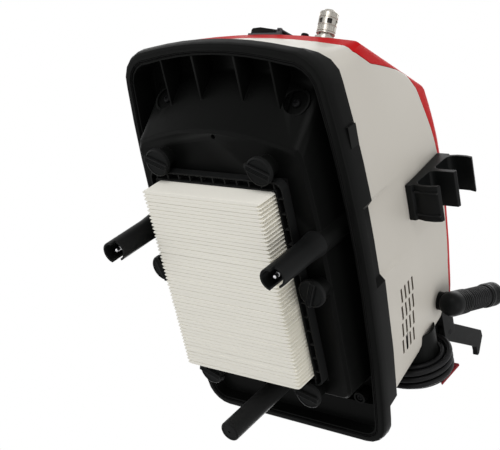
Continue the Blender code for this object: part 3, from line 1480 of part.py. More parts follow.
def motor():
    floor = BLOCK_FACE + CASING_WALL + GAP
    ring = [
        (FAN_CASE, floor + MOUNT_RING),
        (FAN_CASE, floor),
        (INLET + 2 * mm, floor),
        (INLET + 2 * mm, floor + MOUNT_RING),
    ]
    on_motor(turned("motor_mount_ring", ring, ROUND, True), rubber)
    low = floor + MOUNT_RING + GAP
    top = low + FAN_CASE_HEIGHT
    seat = BEARING + GAP
    case = [
        (FAN_CASE, top),
        (FAN_CASE, low),
        (INLET, low),
        (INLET, low + CASE_WALL),
        (FAN_CASE - CASE_WALL, low + CASE_WALL),
        (FAN_CASE - CASE_WALL, top - CASE_WALL),
        (seat, top - CASE_WALL),
        (seat, top),
    ]
    on_motor(turned("fan_housing", case, 32, True), grey)
    can_low = top + GAP
    can_top = can_low + CAN_HEIGHT
    can = [
        (MOTOR_CAN, can_top),
        (MOTOR_CAN, can_low),
        (MOTOR_CAN - CASE_WALL, can_low),
        (MOTOR_CAN - CASE_WALL, can_top - CASE_WALL),
        (seat, can_top - CASE_WALL),
        (seat, can_top),
    ]
    on_motor(turned("motor_can", can, ROUND, True), steel)
    outer = MOTOR_CAN - CASE_WALL - GAP
    stator = [
        (outer, can_low + STATOR_HEIGHT),
        (outer, can_low + GAP),
        (STATOR_BORE, can_low + GAP),
        (STATOR_BORE, can_low + STATOR_HEIGHT),
    ]
    on_motor(turned("stator", stator, ROUND, True), copper)
    for word, z in (("lower", top), ("upper", can_top)):
        bearing = [
            (BEARING, z),
            (BEARING, z - BEARING_HEIGHT),
            (SHAFT + GAP, z - BEARING_HEIGHT),
            (SHAFT + GAP, z),
        ]
        on_motor(turned(f"{word}_bearing", bearing, 16, True), steel)
    fan_low = low + CASE_WALL + 3 * mm
    rotor = [
        (0, can_top + 6 * mm),
        (SHAFT, can_top + 6 * mm),
        (SHAFT, can_low + 50 * mm),
        (ARMATURE, can_low + 50 * mm),
        (ARMATURE, can_low + 8 * mm),
        (SHAFT, can_low + 8 * mm),
        (SHAFT, fan_low),
        (0, fan_low),
    ]
    on_motor(turned("rotor_shaft", rotor, 20), steel)
    fan_top = top - CASE_WALL - BEARING_HEIGHT
    disc = [
        (FAN, fan_top),
        (FAN, fan_top - 2 * mm),
        (11 * mm, fan_top - 2 * mm),
        (9 * mm, fan_low),
        (SHAFT + GAP, fan_low),
        (SHAFT + GAP, fan_top),
    ]
    fan = on_motor(turned("impeller", disc, 28, True), grey)
    for number in range(FAN_BLADES):
        turn = 2 * math.pi * number / FAN_BLADES
        size = (FAN - 9 * mm, 2 * mm, 12 * mm)
        blade = box("blade", size, (7.5 * mm + size[0] / 2, 0, fan_top - mm - size[2] / 2))
        spot = (0, MOTOR_Y, 0)
        join(fan, place(blade, None, head, spot, (0, 0, turn)))


def magnet():
    floor = BLOCK_FACE + CASING_WALL + GAP
    wide, deep, high = MAGNET_SIZE
    body = box("cleaning_magnet", (wide, deep, high), (0, MAGNET_Y, floor + high / 2))
    place(body, copper)
    bore = rod("magnet_bore", PLUNGER + GAP, floor + 3 * mm, floor + 2 * high, 14, (0, MAGNET_Y))
    cut(body, place(bore))
    low = floor + 3 * mm + GAP
    profile = [
        (0, low + high + 4 * mm),
        (PLUNGER + 3 * mm, low + high + 4 * mm),
        (PLUNGER + 3 * mm, low + high + mm),
        (PLUNGER, low + high + mm),
        (PLUNGER, low),
        (0, low),
    ]
    place(turned("magnet_plunger", profile, 14), steel, head, (0, MAGNET_Y, 0))


def control_board():
    floor = BLOCK_FACE + CASING_WALL + GAP
    wide, deep = BOARD_SIZE
    z = floor + BOARD_LEGS
    board = box("control_board", (wide, deep, 1.6 * mm), (0, BOARD_Y, z + 0.8 * mm))
    place(board, green)
    for x in (-1, 1):
        for y in (-1, 1):
            centre = (x * (wide / 2 - 6 * mm), BOARD_Y + y * (deep / 2 - 6 * mm))
            join(board, place(rod("board_leg", 3 * mm, floor, z + mm, 8, centre)))
    parts_on_board = [((26, 20, 18), (-34, 12)), ((14, 30, 12), (8, -8)), ((18, 16, 24), (38, 10))]
    for size, (x, y) in parts_on_board:
        size = [length * mm for length in size]
        centre = (x * mm, BOARD_Y + y * mm, z + 1.2 * mm + size[2] / 2)
        join(board, place(box("board_part", size, centre)))


def stand_on_floor():
    """Moves the head so that its feet stand at z = 0, with the middle of its plan at the origin."""
    bpy.context.view_layer.update()
    graph = bpy.context.evaluated_depsgraph_get()
    lows = Vector((1, 1, 1))
    highs = -lows
    for made in parts.objects:
        if made.type == "EMPTY" or made.name.startswith("cord_"):
            continue
        evaluated = made.evaluated_get(graph)
        mesh = evaluated.to_mesh()
        for vertex in mesh.vertices:
            spot = evaluated.matrix_world @ vertex.co
            lows = Vector(map(min, lows, spot))
            highs = Vector(map(max, highs, spot))
        evaluated.to_mesh_clear()
    head.location = (-(lows.x + highs.x) / 2, -(lows.y + highs.y) / 2, -lows.z)
    print("head frame at", [round(value / mm, 3) for value in head.location], "mm")
    print("box in mm", [round(value / mm, 2) for value in highs - lows])


base_casing()
rim_seal()
casing_screws()
housing()
filter_set()
filter_knobs()
feet()
accessory_clip()
selector()
button()
coupler()
socket()
suction_hose()
hanger()
cord_set()
motor()
magnet()
control_board()
for made in parts.objects:
    if made.type == "MESH":
        smooth(made)
stand_on_floor()
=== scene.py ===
import json
import math
import random

import bmesh
import bpy
from mathutils import Matrix, Vector

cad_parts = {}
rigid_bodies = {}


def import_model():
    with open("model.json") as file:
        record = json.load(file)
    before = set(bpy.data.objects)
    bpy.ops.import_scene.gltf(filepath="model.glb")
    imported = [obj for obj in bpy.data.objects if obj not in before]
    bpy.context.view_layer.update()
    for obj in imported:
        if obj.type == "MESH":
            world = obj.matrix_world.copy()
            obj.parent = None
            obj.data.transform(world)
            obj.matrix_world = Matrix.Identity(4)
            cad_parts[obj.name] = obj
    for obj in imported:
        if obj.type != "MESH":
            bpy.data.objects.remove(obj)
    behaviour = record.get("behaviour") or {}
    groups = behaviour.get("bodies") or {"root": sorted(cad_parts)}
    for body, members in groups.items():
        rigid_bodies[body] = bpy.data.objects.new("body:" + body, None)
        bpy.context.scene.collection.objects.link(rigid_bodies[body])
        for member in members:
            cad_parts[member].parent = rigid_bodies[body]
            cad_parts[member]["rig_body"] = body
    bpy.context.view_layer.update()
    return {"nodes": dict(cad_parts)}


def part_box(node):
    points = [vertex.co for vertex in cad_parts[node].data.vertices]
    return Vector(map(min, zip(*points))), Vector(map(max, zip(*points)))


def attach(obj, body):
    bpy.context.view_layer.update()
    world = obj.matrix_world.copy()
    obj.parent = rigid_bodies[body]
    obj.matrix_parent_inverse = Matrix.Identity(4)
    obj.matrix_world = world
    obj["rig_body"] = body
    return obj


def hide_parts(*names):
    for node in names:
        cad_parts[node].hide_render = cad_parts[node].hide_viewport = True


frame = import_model()

mm = 0.001
postLow, postHigh = (Vector(corner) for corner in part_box("support_post"))
# the middle of the sealing rim at its underside, 226 mm before the post and 126 mm over the floor
headOrigin = Vector(((postLow.x + postHigh.x) / 2, (postLow.y + postHigh.y) / 2 - 226 * mm,
                     postLow.z + 126 * mm))
panelTilt = math.radians(53.5)
random.seed(7)

nodes = frame["nodes"]


def atHead(x, y, z):
    return headOrigin + Vector((x, y, z)) * mm


def onPanel(x, v, w=0):
    arch = 10.5 * (x / 153.06) ** 2  # the panel is arched from side to side
    up = v + arch * math.cos(panelTilt)
    out = w - arch * math.sin(panelTilt)
    along = Vector((0, math.cos(panelTilt), math.sin(panelTilt)))
    return atHead(x, -240, 98) + (along * up + panelOut * out) * mm


panelOut = Vector((0, -math.sin(panelTilt), math.cos(panelTilt)))
panelUp = Vector((0, math.cos(panelTilt), math.sin(panelTilt)))
hoseLean = math.radians(22.5)
hoseAxis = Vector((0, math.sin(hoseLean), math.cos(hoseLean)))


# camera, lamps and floor

cameraLook = {
    "place": (848.44, -559.18, -912.11),  # below the floor, looking up at the filter
    "right": (0.77521531, 0.20464454, 0.59763018),
    "up": (-0.10148930, -0.89343269, 0.43758195),
    "ahead": (-0.62349110, 0.39987329, 0.67183346),
    "lens": 75.36,
}


def makeCamera(look):
    data = bpy.data.cameras.new("viewCamera")
    data.lens = look["lens"]
    data.sensor_width = 36
    data.clip_start = 0.01
    camera = bpy.data.objects.new("viewCamera", data)
    bpy.context.scene.collection.objects.link(camera)
    turn = Matrix((look["right"], look["up"], [-part for part in look["ahead"]])).transposed()
    camera.matrix_world = Matrix.Translation(atHead(*look["place"])) @ turn.to_4x4()
    bpy.context.scene.camera = camera


lampLooks = {
    # place, what it points at, width and height, power
    "keyLamp": ((0.5, -1.9, -0.5), (0, -0.05, 0.15), (1.0, 1.0), 15),
    "fillLamp": ((-1.4, -0.6, -1.2), (0, 0, 0.1), (1.6, 1.6), 10),
    "sideLamp": ((1.9, 0.4, 0.1), (0, 0, 0.2), (1.4, 1.4), 12),
    "topLamp": ((-0.4, -0.3, 2.1), (0, 0, 0.2), (1.8, 1.8), 20),
    "backLamp": ((-0.9, 1.9, 1.0), (0, 0, 0.2), (1.4, 1.4), 12),
}


def makeLamps(looks):
    for name, (place, target, size, power) in looks.items():
        data = bpy.data.lights.new(name, "AREA")
        data.shape = "RECTANGLE"
        data.size, data.size_y = size
        data.energy = power
        lamp = bpy.data.objects.new(name, data)
        bpy.context.scene.collection.objects.link(lamp)
        lamp.location = place
        lamp.rotation_euler = (Vector(target) - Vector(place)).to_track_quat("-Z", "Y").to_euler()


def joined(tree, one, two, operation):
    made = tree.nodes.new("ShaderNodeMath")
    made.operation = operation
    for place, value in enumerate((one, two)):
        if isinstance(value, (int, float)):
            made.inputs[place].default_value = value
        else:
            tree.links.new(value, made.inputs[place])
    return made.outputs[0]


def makeWorld(ambient):
    world = bpy.data.worlds.new("studioWorld")
    bpy.context.scene.world = world
    world.use_nodes = True
    tree = world.node_tree
    tree.nodes.clear()
    path = tree.nodes.new("ShaderNodeLightPath")
    plain = tree.nodes.new("ShaderNodeBackground")
    plain.inputs["Color"].default_value = (ambient, ambient, ambient, 1)
    white = tree.nodes.new("ShaderNodeBackground")
    white.inputs["Color"].default_value = (1, 1, 1, 1)
    seen = joined(tree, path.outputs["Is Camera Ray"], path.outputs["Is Glossy Ray"], "MAXIMUM")
    seen = joined(tree, seen, path.outputs["Is Transmission Ray"], "MAXIMUM")
    mixed = tree.nodes.new("ShaderNodeMixShader")
    tree.links.new(seen, mixed.inputs[0])
    tree.links.new(plain.outputs[0], mixed.inputs[1])
    tree.links.new(white.outputs[0], mixed.inputs[2])
    output = tree.nodes.new("ShaderNodeOutputWorld")
    tree.links.new(mixed.outputs[0], output.inputs["Surface"])


def makeFloor(size):
    clearSelection()
    bpy.ops.mesh.primitive_plane_add(size=size, location=(0, 0, -0.0005))
    floor = bpy.context.active_object
    floor.name = "studioFloor"
    made = bpy.data.materials.new("paleFloor")
    made.use_nodes = True
    tree = made.node_tree
    tree.nodes.clear()
    path = tree.nodes.new("ShaderNodeLightPath")
    side = tree.nodes.new("ShaderNodeNewGeometry")
    front = joined(tree, 1, side.outputs["Backfacing"], "SUBTRACT")  # nothing from below
    shown = joined(tree, path.outputs["Is Camera Ray"], front, "MULTIPLY")
    clear = tree.nodes.new("ShaderNodeBsdfTransparent")
    pale = tree.nodes.new("ShaderNodeBsdfDiffuse")
    pale.inputs["Color"].default_value = (0.86, 0.86, 0.86, 1)
    mixed = tree.nodes.new("ShaderNodeMixShader")
    tree.links.new(shown, mixed.inputs[0])
    tree.links.new(clear.outputs[0], mixed.inputs[1])
    tree.links.new(pale.outputs[0], mixed.inputs[2])
    output = tree.nodes.new("ShaderNodeOutputMaterial")
    tree.links.new(mixed.outputs[0], output.inputs["Surface"])
    floor.data.materials.append(made)


# modelling helpers

def clearSelection():
    if bpy.context.mode != "OBJECT":
        bpy.ops.object.mode_set(mode="OBJECT")
    bpy.ops.object.select_all(action="DESELECT")


def makeActive(piece):
    clearSelection()
    piece.select_set(True)
    bpy.context.view_layer.objects.active = piece


def startEdit(piece, mode="VERT"):
    makeActive(piece)
    bpy.ops.object.mode_set(mode="EDIT")
    bpy.ops.mesh.select_mode(type=mode)
    bpy.ops.mesh.select_all(action="SELECT")


def endEdit():
    bpy.ops.object.mode_set(mode="OBJECT")


def middleOf(part):
    return part.co if isinstance(part, bmesh.types.BMVert) else part.calc_center_median()


def pickFaces(piece, test):
    shape = bmesh.from_edit_mesh(piece.data)
    bpy.ops.mesh.select_all(action="DESELECT")
    for face in shape.faces:
        face.select_set(bool(test(face)))
    bmesh.update_edit_mesh(piece.data)


def pickPoints(piece, test):
    shape = bmesh.from_edit_mesh(piece.data)
    bpy.ops.mesh.select_all(action="DESELECT")
    for point in shape.verts:
        if test(point.co):
            point.select_set(True)
    shape.select_flush_mode()
    bmesh.update_edit_mesh(piece.data)


def giveLooks(piece, *names):
    piece.data.materials.clear()
    for name in names:
        piece.data.materials.append(looks[name])


def paintPicked():
    bpy.context.object.active_material_index = 1  # the second look
    bpy.ops.object.material_slot_assign()


def settle(piece):
    makeActive(piece)
    bpy.ops.object.transform_apply(location=True, rotation=True, scale=True)


def applyModifier(piece, kind, **values):
    makeActive(piece)
    modifier = piece.modifiers.new(kind.lower(), kind)
    for key, value in values.items():
        setattr(modifier, key, value)
    bpy.ops.object.modifier_apply(modifier=modifier.name)


def softEdges(piece, width, segments=2, angle=32):
    applyModifier(
        piece,
        "BEVEL",
        width=width * mm,
        segments=segments,
        limit_method="ANGLE",
        angle_limit=math.radians(angle),
        use_clamp_overlap=False,
    )


def smoothed(piece, angle=35):
    makeActive(piece)
    bpy.ops.object.shade_smooth_by_angle(angle=math.radians(angle))
    applyModifier(piece, "WEIGHTED_NORMAL", keep_sharp=True, weight=100)


def carve(piece, tool, operation="DIFFERENCE"):
    applyModifier(piece, "BOOLEAN", object=tool, operation=operation, solver="EXACT")
    bpy.data.objects.remove(tool)


def joinPieces(pieces, name):
    clearSelection()
    for piece in pieces:
        piece.select_set(True)
    bpy.context.view_layer.objects.active = pieces[0]
    bpy.ops.object.join()
    pieces[0].name = name
    return pieces[0]


def twin(piece):
    makeActive(piece)
    bpy.ops.object.duplicate(linked=False)
    return bpy.context.active_object


def turned(name, profile, centre, axis=(0, 0, 1), count=48, ring=False):
    axis = Vector(axis).normalized()
    radius, along = profile[0]
    spot = centre + axis * along * mm
    clearSelection()
    bpy.ops.mesh.primitive_circle_add(
        vertices=count,
        radius=radius * mm,
        fill_type="NOTHING" if ring else "NGON",
        location=spot,
        rotation=axis.to_track_quat("Z", "Y").to_euler(),
    )
    piece = bpy.context.active_object
    piece.name = name
    startEdit(piece, "EDGE" if ring else "FACE")
    for nextRadius, nextAlong in profile[1:]:
        step = axis * (nextAlong - along) * mm
        bpy.ops.mesh.extrude_region_move(TRANSFORM_OT_translate={"value": step})
        spot = spot + step
        grow = nextRadius / radius
        if abs(grow - 1) > 1e-6:
            bpy.ops.transform.resize(value=(grow, grow, grow), center_override=spot)
        radius, along = nextRadius, nextAlong
    bpy.ops.mesh.select_all(action="SELECT")
    bpy.ops.mesh.remove_doubles(threshold=1e-6)
    bpy.ops.mesh.normals_make_consistent(inside=False)
    endEdit()
    settle(piece)
    return piece


def block(name, size, centre, turn=(0, 0, 0)):
    clearSelection()
    bpy.ops.mesh.primitive_cube_add(size=1, location=centre, rotation=turn)
    piece = bpy.context.active_object
    piece.name = name
    piece.scale = Vector(size) * mm
    settle(piece)
    return piece


def refined(node, name, width=0.4, segments=2, angle=32, flat=0.6):
    source = nodes[node]
    piece = bpy.data.objects.new(name, source.data.copy())
    bpy.context.scene.collection.objects.link(piece)
    startEdit(piece)
    bpy.ops.mesh.customdata_custom_splitnormals_clear()
    bpy.ops.mesh.remove_doubles(threshold=1e-5)
    bpy.ops.mesh.dissolve_limited(angle_limit=math.radians(flat))
    endEdit()
    if width:
        softEdges(piece, width, segments, angle)
    return piece


def finishPiece(piece, look, *stoodFor, like=None, angle=35):
    node = like or stoodFor[0]
    smoothed(piece, angle)
    if look:
        piece.data.materials.clear()
        piece.data.materials.append(look)
    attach(piece, nodes[node]["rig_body"])
    if stoodFor:
        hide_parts(*stoodFor)
    return piece


# finishes

def finish(name, colour, rough, metal=0.0, specular=0.5, grain=0.1, grainSize=0.4, tint=0.08,
           tintSize=60, roughSpread=0.08, edge=0.0, edgeHighlightColour=(0.2, 0.2, 0.2), stretch=(1, 1, 1)):
    made = bpy.data.materials.new(name)
    made.use_nodes = True
    tree = made.node_tree
    shader = tree.nodes["Principled BSDF"]
    shader.inputs["Metallic"].default_value = metal
    shader.inputs["Specular IOR Level"].default_value = specular
    place = tree.nodes.new("ShaderNodeTexCoord")
    mapping = tree.nodes.new("ShaderNodeMapping")
    mapping.inputs["Scale"].default_value = stretch
    tree.links.new(place.outputs["Object"], mapping.inputs["Vector"])

    def noise(size, detail):
        texture = tree.nodes.new("ShaderNodeTexNoise")
        texture.inputs["Scale"].default_value = 1000 / size
        texture.inputs["Detail"].default_value = detail
        tree.links.new(mapping.outputs["Vector"], texture.inputs["Vector"])
        return texture.outputs["Fac"]

    cloud = noise(tintSize, 4)
    shades = tree.nodes.new("ShaderNodeMix")
    shades.data_type = "RGBA"
    tree.links.new(cloud, shades.inputs["Factor"])
    shades.inputs["A"].default_value = (*[part * (1 - tint) for part in colour], 1)
    shades.inputs["B"].default_value = (*[part * (1 + tint) for part in colour], 1)
    paint = shades.outputs["Result"]
    # painted highlight: where Pointiness finds an edge, the colour is lifted by up to edge towards
    # the edge colour, standing in for the thin highlights along edges
    if edge:
        shape = tree.nodes.new("ShaderNodeNewGeometry")
        ramp = tree.nodes.new("ShaderNodeMapRange")
        ramp.inputs["From Min"].default_value = 0.52
        ramp.inputs["From Max"].default_value = 0.64
        ramp.inputs["To Max"].default_value = edge
        tree.links.new(shape.outputs["Pointiness"], ramp.inputs["Value"])
        edgeHighlight = tree.nodes.new("ShaderNodeMix")
        edgeHighlight.data_type = "RGBA"
        tree.links.new(ramp.outputs["Result"], edgeHighlight.inputs["Factor"])
        tree.links.new(paint, edgeHighlight.inputs["A"])
        edgeHighlight.inputs["B"].default_value = (*edgeHighlightColour, 1)
        paint = edgeHighlight.outputs["Result"]
    tree.links.new(paint, shader.inputs["Base Color"])
    spread = tree.nodes.new("ShaderNodeMapRange")
    spread.inputs["To Min"].default_value = rough - roughSpread
    spread.inputs["To Max"].default_value = rough + roughSpread
    tree.links.new(noise(tintSize / 6, 5), spread.inputs["Value"])
    tree.links.new(spread.outputs["Result"], shader.inputs["Roughness"])
    bump = tree.nodes.new("ShaderNodeBump")
    bump.inputs["Strength"].default_value = grain
    bump.inputs["Distance"].default_value = grainSize * mm / 4
    tree.links.new(noise(grainSize, 3), bump.inputs["Height"])
    tree.links.new(bump.outputs["Normal"], shader.inputs["Normal"])
    made.diffuse_color = (*colour, 1)
    return made


looks = {
    # casingBlack and knobBlack carry a painted highlight along their edges (edge and its colour)
    "casingBlack": finish("casingBlack", (0.0036, 0.0038, 0.0036), 0.36, specular=0.03, grain=0.2,
                          grainSize=0.7, edge=0.7, edgeHighlightColour=(0.030, 0.031, 0.030)),
    "knobBlack": finish("knobBlack", (0.0045, 0.0049, 0.0049), 0.40, specular=0.05, grain=0.2,
                        grainSize=0.6, edge=0.7, edgeHighlightColour=(0.035, 0.035, 0.035)),
    # dark brown painted shade for the inner walls of the vent slots, standing in for the shadow
    # inside them
    "ventPaintedShade": finish("ventPaintedShade", (0.165, 0.137, 0.105), 0.6, specular=0.15),
    "shellWhite": finish("shellWhite", (0.56, 0.53, 0.475), 0.45, specular=0.22, grain=0.25,
                         grainSize=0.9, tint=0.025, tintSize=140),
    "shellRed": finish("shellRed", (0.47, 0.006, 0.008), 0.52, specular=0.06, grain=0.15,
                       grainSize=0.9, tint=0.05, tintSize=120),
    # a darker copy of the housing red: painted shade for the hooks' lips
    "hookShadedRed": finish("hookShadedRed", (0.20, 0.005, 0.010), 0.46, specular=0.1, grain=0.2, tint=0.08),
    "sealRubber": finish("sealRubber", (0.0055, 0.0055, 0.0055), 0.6, specular=0.05, grain=0.35,
                         grainSize=0.8, tint=0.2, tintSize=25),
    "cordRubber": finish("cordRubber", (0.0065, 0.0065, 0.007), 0.46, specular=0.12, grain=0.3,
                         grainSize=0.8, tint=0.25, tintSize=18),
    "hoseRubber": finish("hoseRubber", (0.0075, 0.0075, 0.0080), 0.48, specular=0.1, grain=0.3,
                         grainSize=0.9, tint=0.2, tintSize=20),
    "plainSteel": finish("plainSteel", (0.60, 0.60, 0.61), 0.30, metal=1, grain=0.15,
                         grainSize=0.3, tint=0.06, tintSize=12, stretch=(1, 1, 0.2)),
    "darkSteel": finish("darkSteel", (0.006, 0.006, 0.0065), 0.5, metal=0.1, specular=0.05,
                        grain=0.2, grainSize=0.4, tint=0.15, tintSize=6),
    "nickel": finish("nickel", (0.37, 0.35, 0.315), 0.27, metal=1, grain=0.1, grainSize=0.3,
                     tint=0.08, tintSize=9),
    "greyPlastic": finish("greyPlastic", (0.055, 0.058, 0.062), 0.48, specular=0.25, grain=0.3),
    "winding": finish("winding", (0.48, 0.20, 0.08), 0.42, metal=0.8, grain=0.9, grainSize=1.2,
                      tint=0.2, tintSize=8, stretch=(1, 1, 0.1)),
    "boardGreen": finish("boardGreen", (0.012, 0.085, 0.03), 0.45, grain=0.5, grainSize=3,
                         tint=0.3, tintSize=9),
    "printedWhite": finish("printedWhite", (0.62, 0.62, 0.60), 0.5, grain=0.1, tint=0.03),
    "trayRubber": finish("trayRubber", (0.012, 0.012, 0.0125), 0.6, specular=0.15, grain=0.4),
    "windowDark": finish("windowDark", (0.02, 0.018, 0.016), 0.5, metal=0.5, grain=0.2),
}


def paperFinish(name, colour):
    made = finish(name, colour, 0.9, specular=0.1, grain=0.25, grainSize=1.4, tint=0.03,
                  tintSize=26, roughSpread=0.05, stretch=(0.25, 1, 1))
    tree = made.node_tree
    shader = tree.nodes["Principled BSDF"]
    shader.inputs["Sheen Weight"].default_value = 0.15
    shader.inputs["Sheen Roughness"].default_value = 0.6
    return made


looks["filterPaper"] = paperFinish("filterPaper", (0.90, 0.875, 0.79))
print("camera, light and finishes ready")

bpy.context.scene.view_settings.view_transform = "Standard"
makeCamera(cameraLook)
makeLamps(lampLooks)
makeWorld(0.5)
makeFloor(14)


# power cord in a hank on the two hooks

cordLook = {
    "diameter": 8.4,
    "pitch": 10.2,
    "middleZ": 150,
    "nearY": 246,
    "span": 236,
    "innerRadius": 40,
    "loopsInLayer": 3,
    "stations": 24,
    "straightStations": 3,
    "samples": 4,  # points of the curve for each station
    "glandTipX": -92,
    "plugX": -78,
    "straight": 10,
    "plugRadius": 18,
}


def loopPoint(station, radius, look):
    half = look["span"] / 2
    edges = look["stations"] / 2
    start = look["straightStations"] / 2
    bendSteps = edges - look["straightStations"]
    station %= look["stations"]
    side = 1
    if station >= edges:
        station -= edges
        side = -1
    if station <= start:
        x, z = half * station / start, -radius
    elif station >= start + bendSteps:
        x, z = half * (edges - station) / start, radius
    else:
        turn = math.pi * (station - start) / bendSteps
        x, z = half + radius * math.sin(turn), -radius * math.cos(turn)
    return side * x, side * z


def hankPoints(look):
    points = []
    turns = 2 * look["loopsInLayer"] + 0.5
    count = round(turns * look["stations"] * look["samples"])
    for place in range(count + 1):
        station = place / look["samples"]
        gone = station / look["stations"]
        climb = min(1, max(0, (gone - look["loopsInLayer"]) / 0.5))
        out = min(gone, look["loopsInLayer"]) - max(0, gone - look["loopsInLayer"] - 0.5)
        radius = look["innerRadius"] + look["pitch"] * climb * climb * (3 - 2 * climb)
        x, z = loopPoint(station, radius, look)
        points.append(Vector((x, look["nearY"] + look["pitch"] * out, look["middleZ"] + z)))
    return points


def gentleStep(start, end, straight, count):
    ahead = math.copysign(1, end.x - start.x)
    drop = end.z - start.z
    run = abs(end.x - start.x) - 2 * straight
    radius = (run**2 + drop**2) / (4 * abs(drop))
    sweep = 2 * math.atan2(abs(drop), run)
    points = [start]
    for place in range(2 * count + 1):
        turn = sweep * place / count
        if place <= count:
            along, up = radius * math.sin(turn), radius * (1 - math.cos(turn))
        else:
            turn = 2 * sweep - turn
            along = run - radius * math.sin(turn)
            up = abs(drop) - radius * (1 - math.cos(turn))
        share = (straight + along) / (run + 2 * straight)
        y = start.y + (end.y - start.y) * share
        points.append(Vector((start.x + ahead * (straight + along), y,
                              start.z + math.copysign(up, drop))))
    return points + [end]


def makePlug(look):
    rings = [(0.5, 0), (5.6, 0), (6.0, -0.6)]
    for rib in range(4):  # grip rings where the cord leaves the plug
        start = -1.5 - rib * 2.6
        rings += [(6.2 + rib * 0.5, start), (7.4 + rib * 0.6, start - 0.4),
                  (7.4 + rib * 0.6, start - 1.6), (6.4 + rib * 0.5, start - 2.0)]
    rings += [(10.5, -12.6), (14.6, -15.6), (16.6, -19.5), (17.6, -24), (18, -28), (18, -40.5),
              (17.6, -41), (17.6, -42.4), (18, -43), (18, -45.4), (17.4, -46), (0.5, -46)]
    tip = atHead(look["plugX"] - 0.3, look["nearY"], look["middleZ"] + plugLift(look))
    shell = turned("plugShell", rings, tip, (1, 0, 0), 40)
    flats = []
    for side in (-1, 1):
        flats.append(block("plugFlat", (9, 14, 3), tip + Vector((-32, 0, side * 18.3)) * mm))
    for tool in flats:
        carve(shell, tool)
    softEdges(shell, 0.25)
    pins = []
    for side in (-1, 1):
        pin = [(2.4, -44), (2.4, -63.6), (1.9, -64.8), (0.8, -65.3)]
        pins.append(turned("plugPin", pin, tip + Vector((0, side * 9.5, 0)) * mm, (1, 0, 0), 20))
    shell.data.materials.append(looks["cordRubber"])
    for pin in pins:
        pin.data.materials.append(looks["nickel"])
    plug = joinPieces([shell] + pins, "mainsPlug")
    smoothed(plug)
    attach(plug, "head")
    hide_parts("cord_plug")
    return plug


def plugLift(look):
    outer = look["innerRadius"] + look["pitch"]
    return outer + look["diameter"] / 2 + look["plugRadius"] + 0.6


def makeCord(look):
    loops = hankPoints(look)
    tip = Vector((look["glandTipX"], look["nearY"], look["middleZ"]))
    plugTip = Vector((look["plugX"], look["nearY"], look["middleZ"] + plugLift(look)))
    lead = gentleStep(tip, loops[0], look["straight"], 10)
    tail = gentleStep(loops[-1], plugTip, look["straight"], 10)
    route = lead + loops[1:-1] + tail
    data = bpy.data.curves.new("powerCord", "CURVE")
    data.dimensions = "3D"
    data.bevel_depth = look["diameter"] / 2 * mm
    data.bevel_resolution = 4
    data.use_fill_caps = True
    spline = data.splines.new("POLY")
    spline.points.add(len(route) - 1)
    for point, spot in zip(spline.points, route):
        point.co = (*atHead(*spot), 1)
    cord = bpy.data.objects.new("powerCord", data)
    bpy.context.scene.collection.objects.link(cord)
    data.materials.append(looks["cordRubber"])
    plug = makePlug(look)
    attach(cord, "head")
    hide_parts("cord_lead", "cord_hank", "cord_tail")


makeCord(cordLook)


# base casing, seal and screws

casingLook = {
    "edge": 0.5,
    "pinHole": (3.5, -152.6, 3.3),  # x, y and radius of the small hole in the block's face
    "flat": 0.05,
}


def makeCasing(look):
    casing = refined("base_casing", "baseCasing", look["edge"], flat=look["flat"])
    x, y, radius = look["pinHole"]
    hole = turned("pinHole", [(radius, -4), (radius, 2), (radius + 1.2, 4)],
                  atHead(x, y, -31.5), (0, 0, -1), 20)
    carve(casing, hole)
    finishPiece(casing, looks["casingBlack"], "base_casing")


makeCasing(casingLook)
seal = refined("rim_seal", "rimSeal", 0.25, angle=25)
finishPiece(seal, looks["sealRubber"], "rim_seal", angle=30)


screwLook = {"head": 5.5, "height": 3, "slot": 1.1, "slotLength": 6.4, "slotDepth": 1.6}


def makeScrew(node, name, look):
    low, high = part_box(node)
    middle = (low + high) / 2
    if "front" in node:
        tilt = math.atan(1 / 0.835)
        out = Vector((0, -math.sin(tilt), -math.cos(tilt)))  # out of the block's front slope
        long = 15
        centre = middle + out * (long / 2 - 3) * mm
    else:
        out = Vector((0, 0, -1))
        centre = Vector((middle.x, middle.y, low.z + 3 * mm))
    head = look["head"]
    rings = [(2.4, -12), (2.4, 0), (head, 0), (head, 1.2), (head * 0.93, 1.9), (head * 0.75, 2.6),
             (head * 0.45, 3)]
    screw = turned(name, rings, centre, out, 28)
    turn = out.to_track_quat("Z", "Y").to_euler()
    for size in ((look["slotLength"], look["slot"], 2 * look["slotDepth"]),
                 (look["slot"], look["slotLength"], 2 * look["slotDepth"])):
        carve(screw, block("screwSlot", size, centre + out * 3 * mm, turn))
    finishPiece(screw, looks["darkSteel"], node, angle=40)


for side in ("left", "right"):
    makeScrew(f"front_screw_{side}", f"frontScrew_{side}", screwLook)
    makeScrew(f"rear_screw_{side}", f"rearScrew_{side}", screwLook)
print("base casing, seal and screws made")


# filter: frame, gasket and pleats

pleatLook = {
    "count": 50,
    "halfX": 96,
    "halfY": 130.9,
    "middleY": 37.7,
    "top": -35.6,
    "low": -78.6,
    "backing": 4.5,
    # thickness of one pleat, as a share of the pitch, by distance from the middle
    "alongX": ((96, 0.05), (94.6, 0.32), (92.4, 0.68), (89, 0.92), (80, 0.97), (40, 0.98),
               (0, 0.98)),
    "alongZ": ((0, 0.88), (0.4, 0.96), (1.8, 0.985), (5, 0.99), (16, 1.0)),
    "endLift": ((96, 2.0), (94.8, 0.7), (92.8, 0.2)),
    "shift": 0.10,
    "lean": 0.2,
}


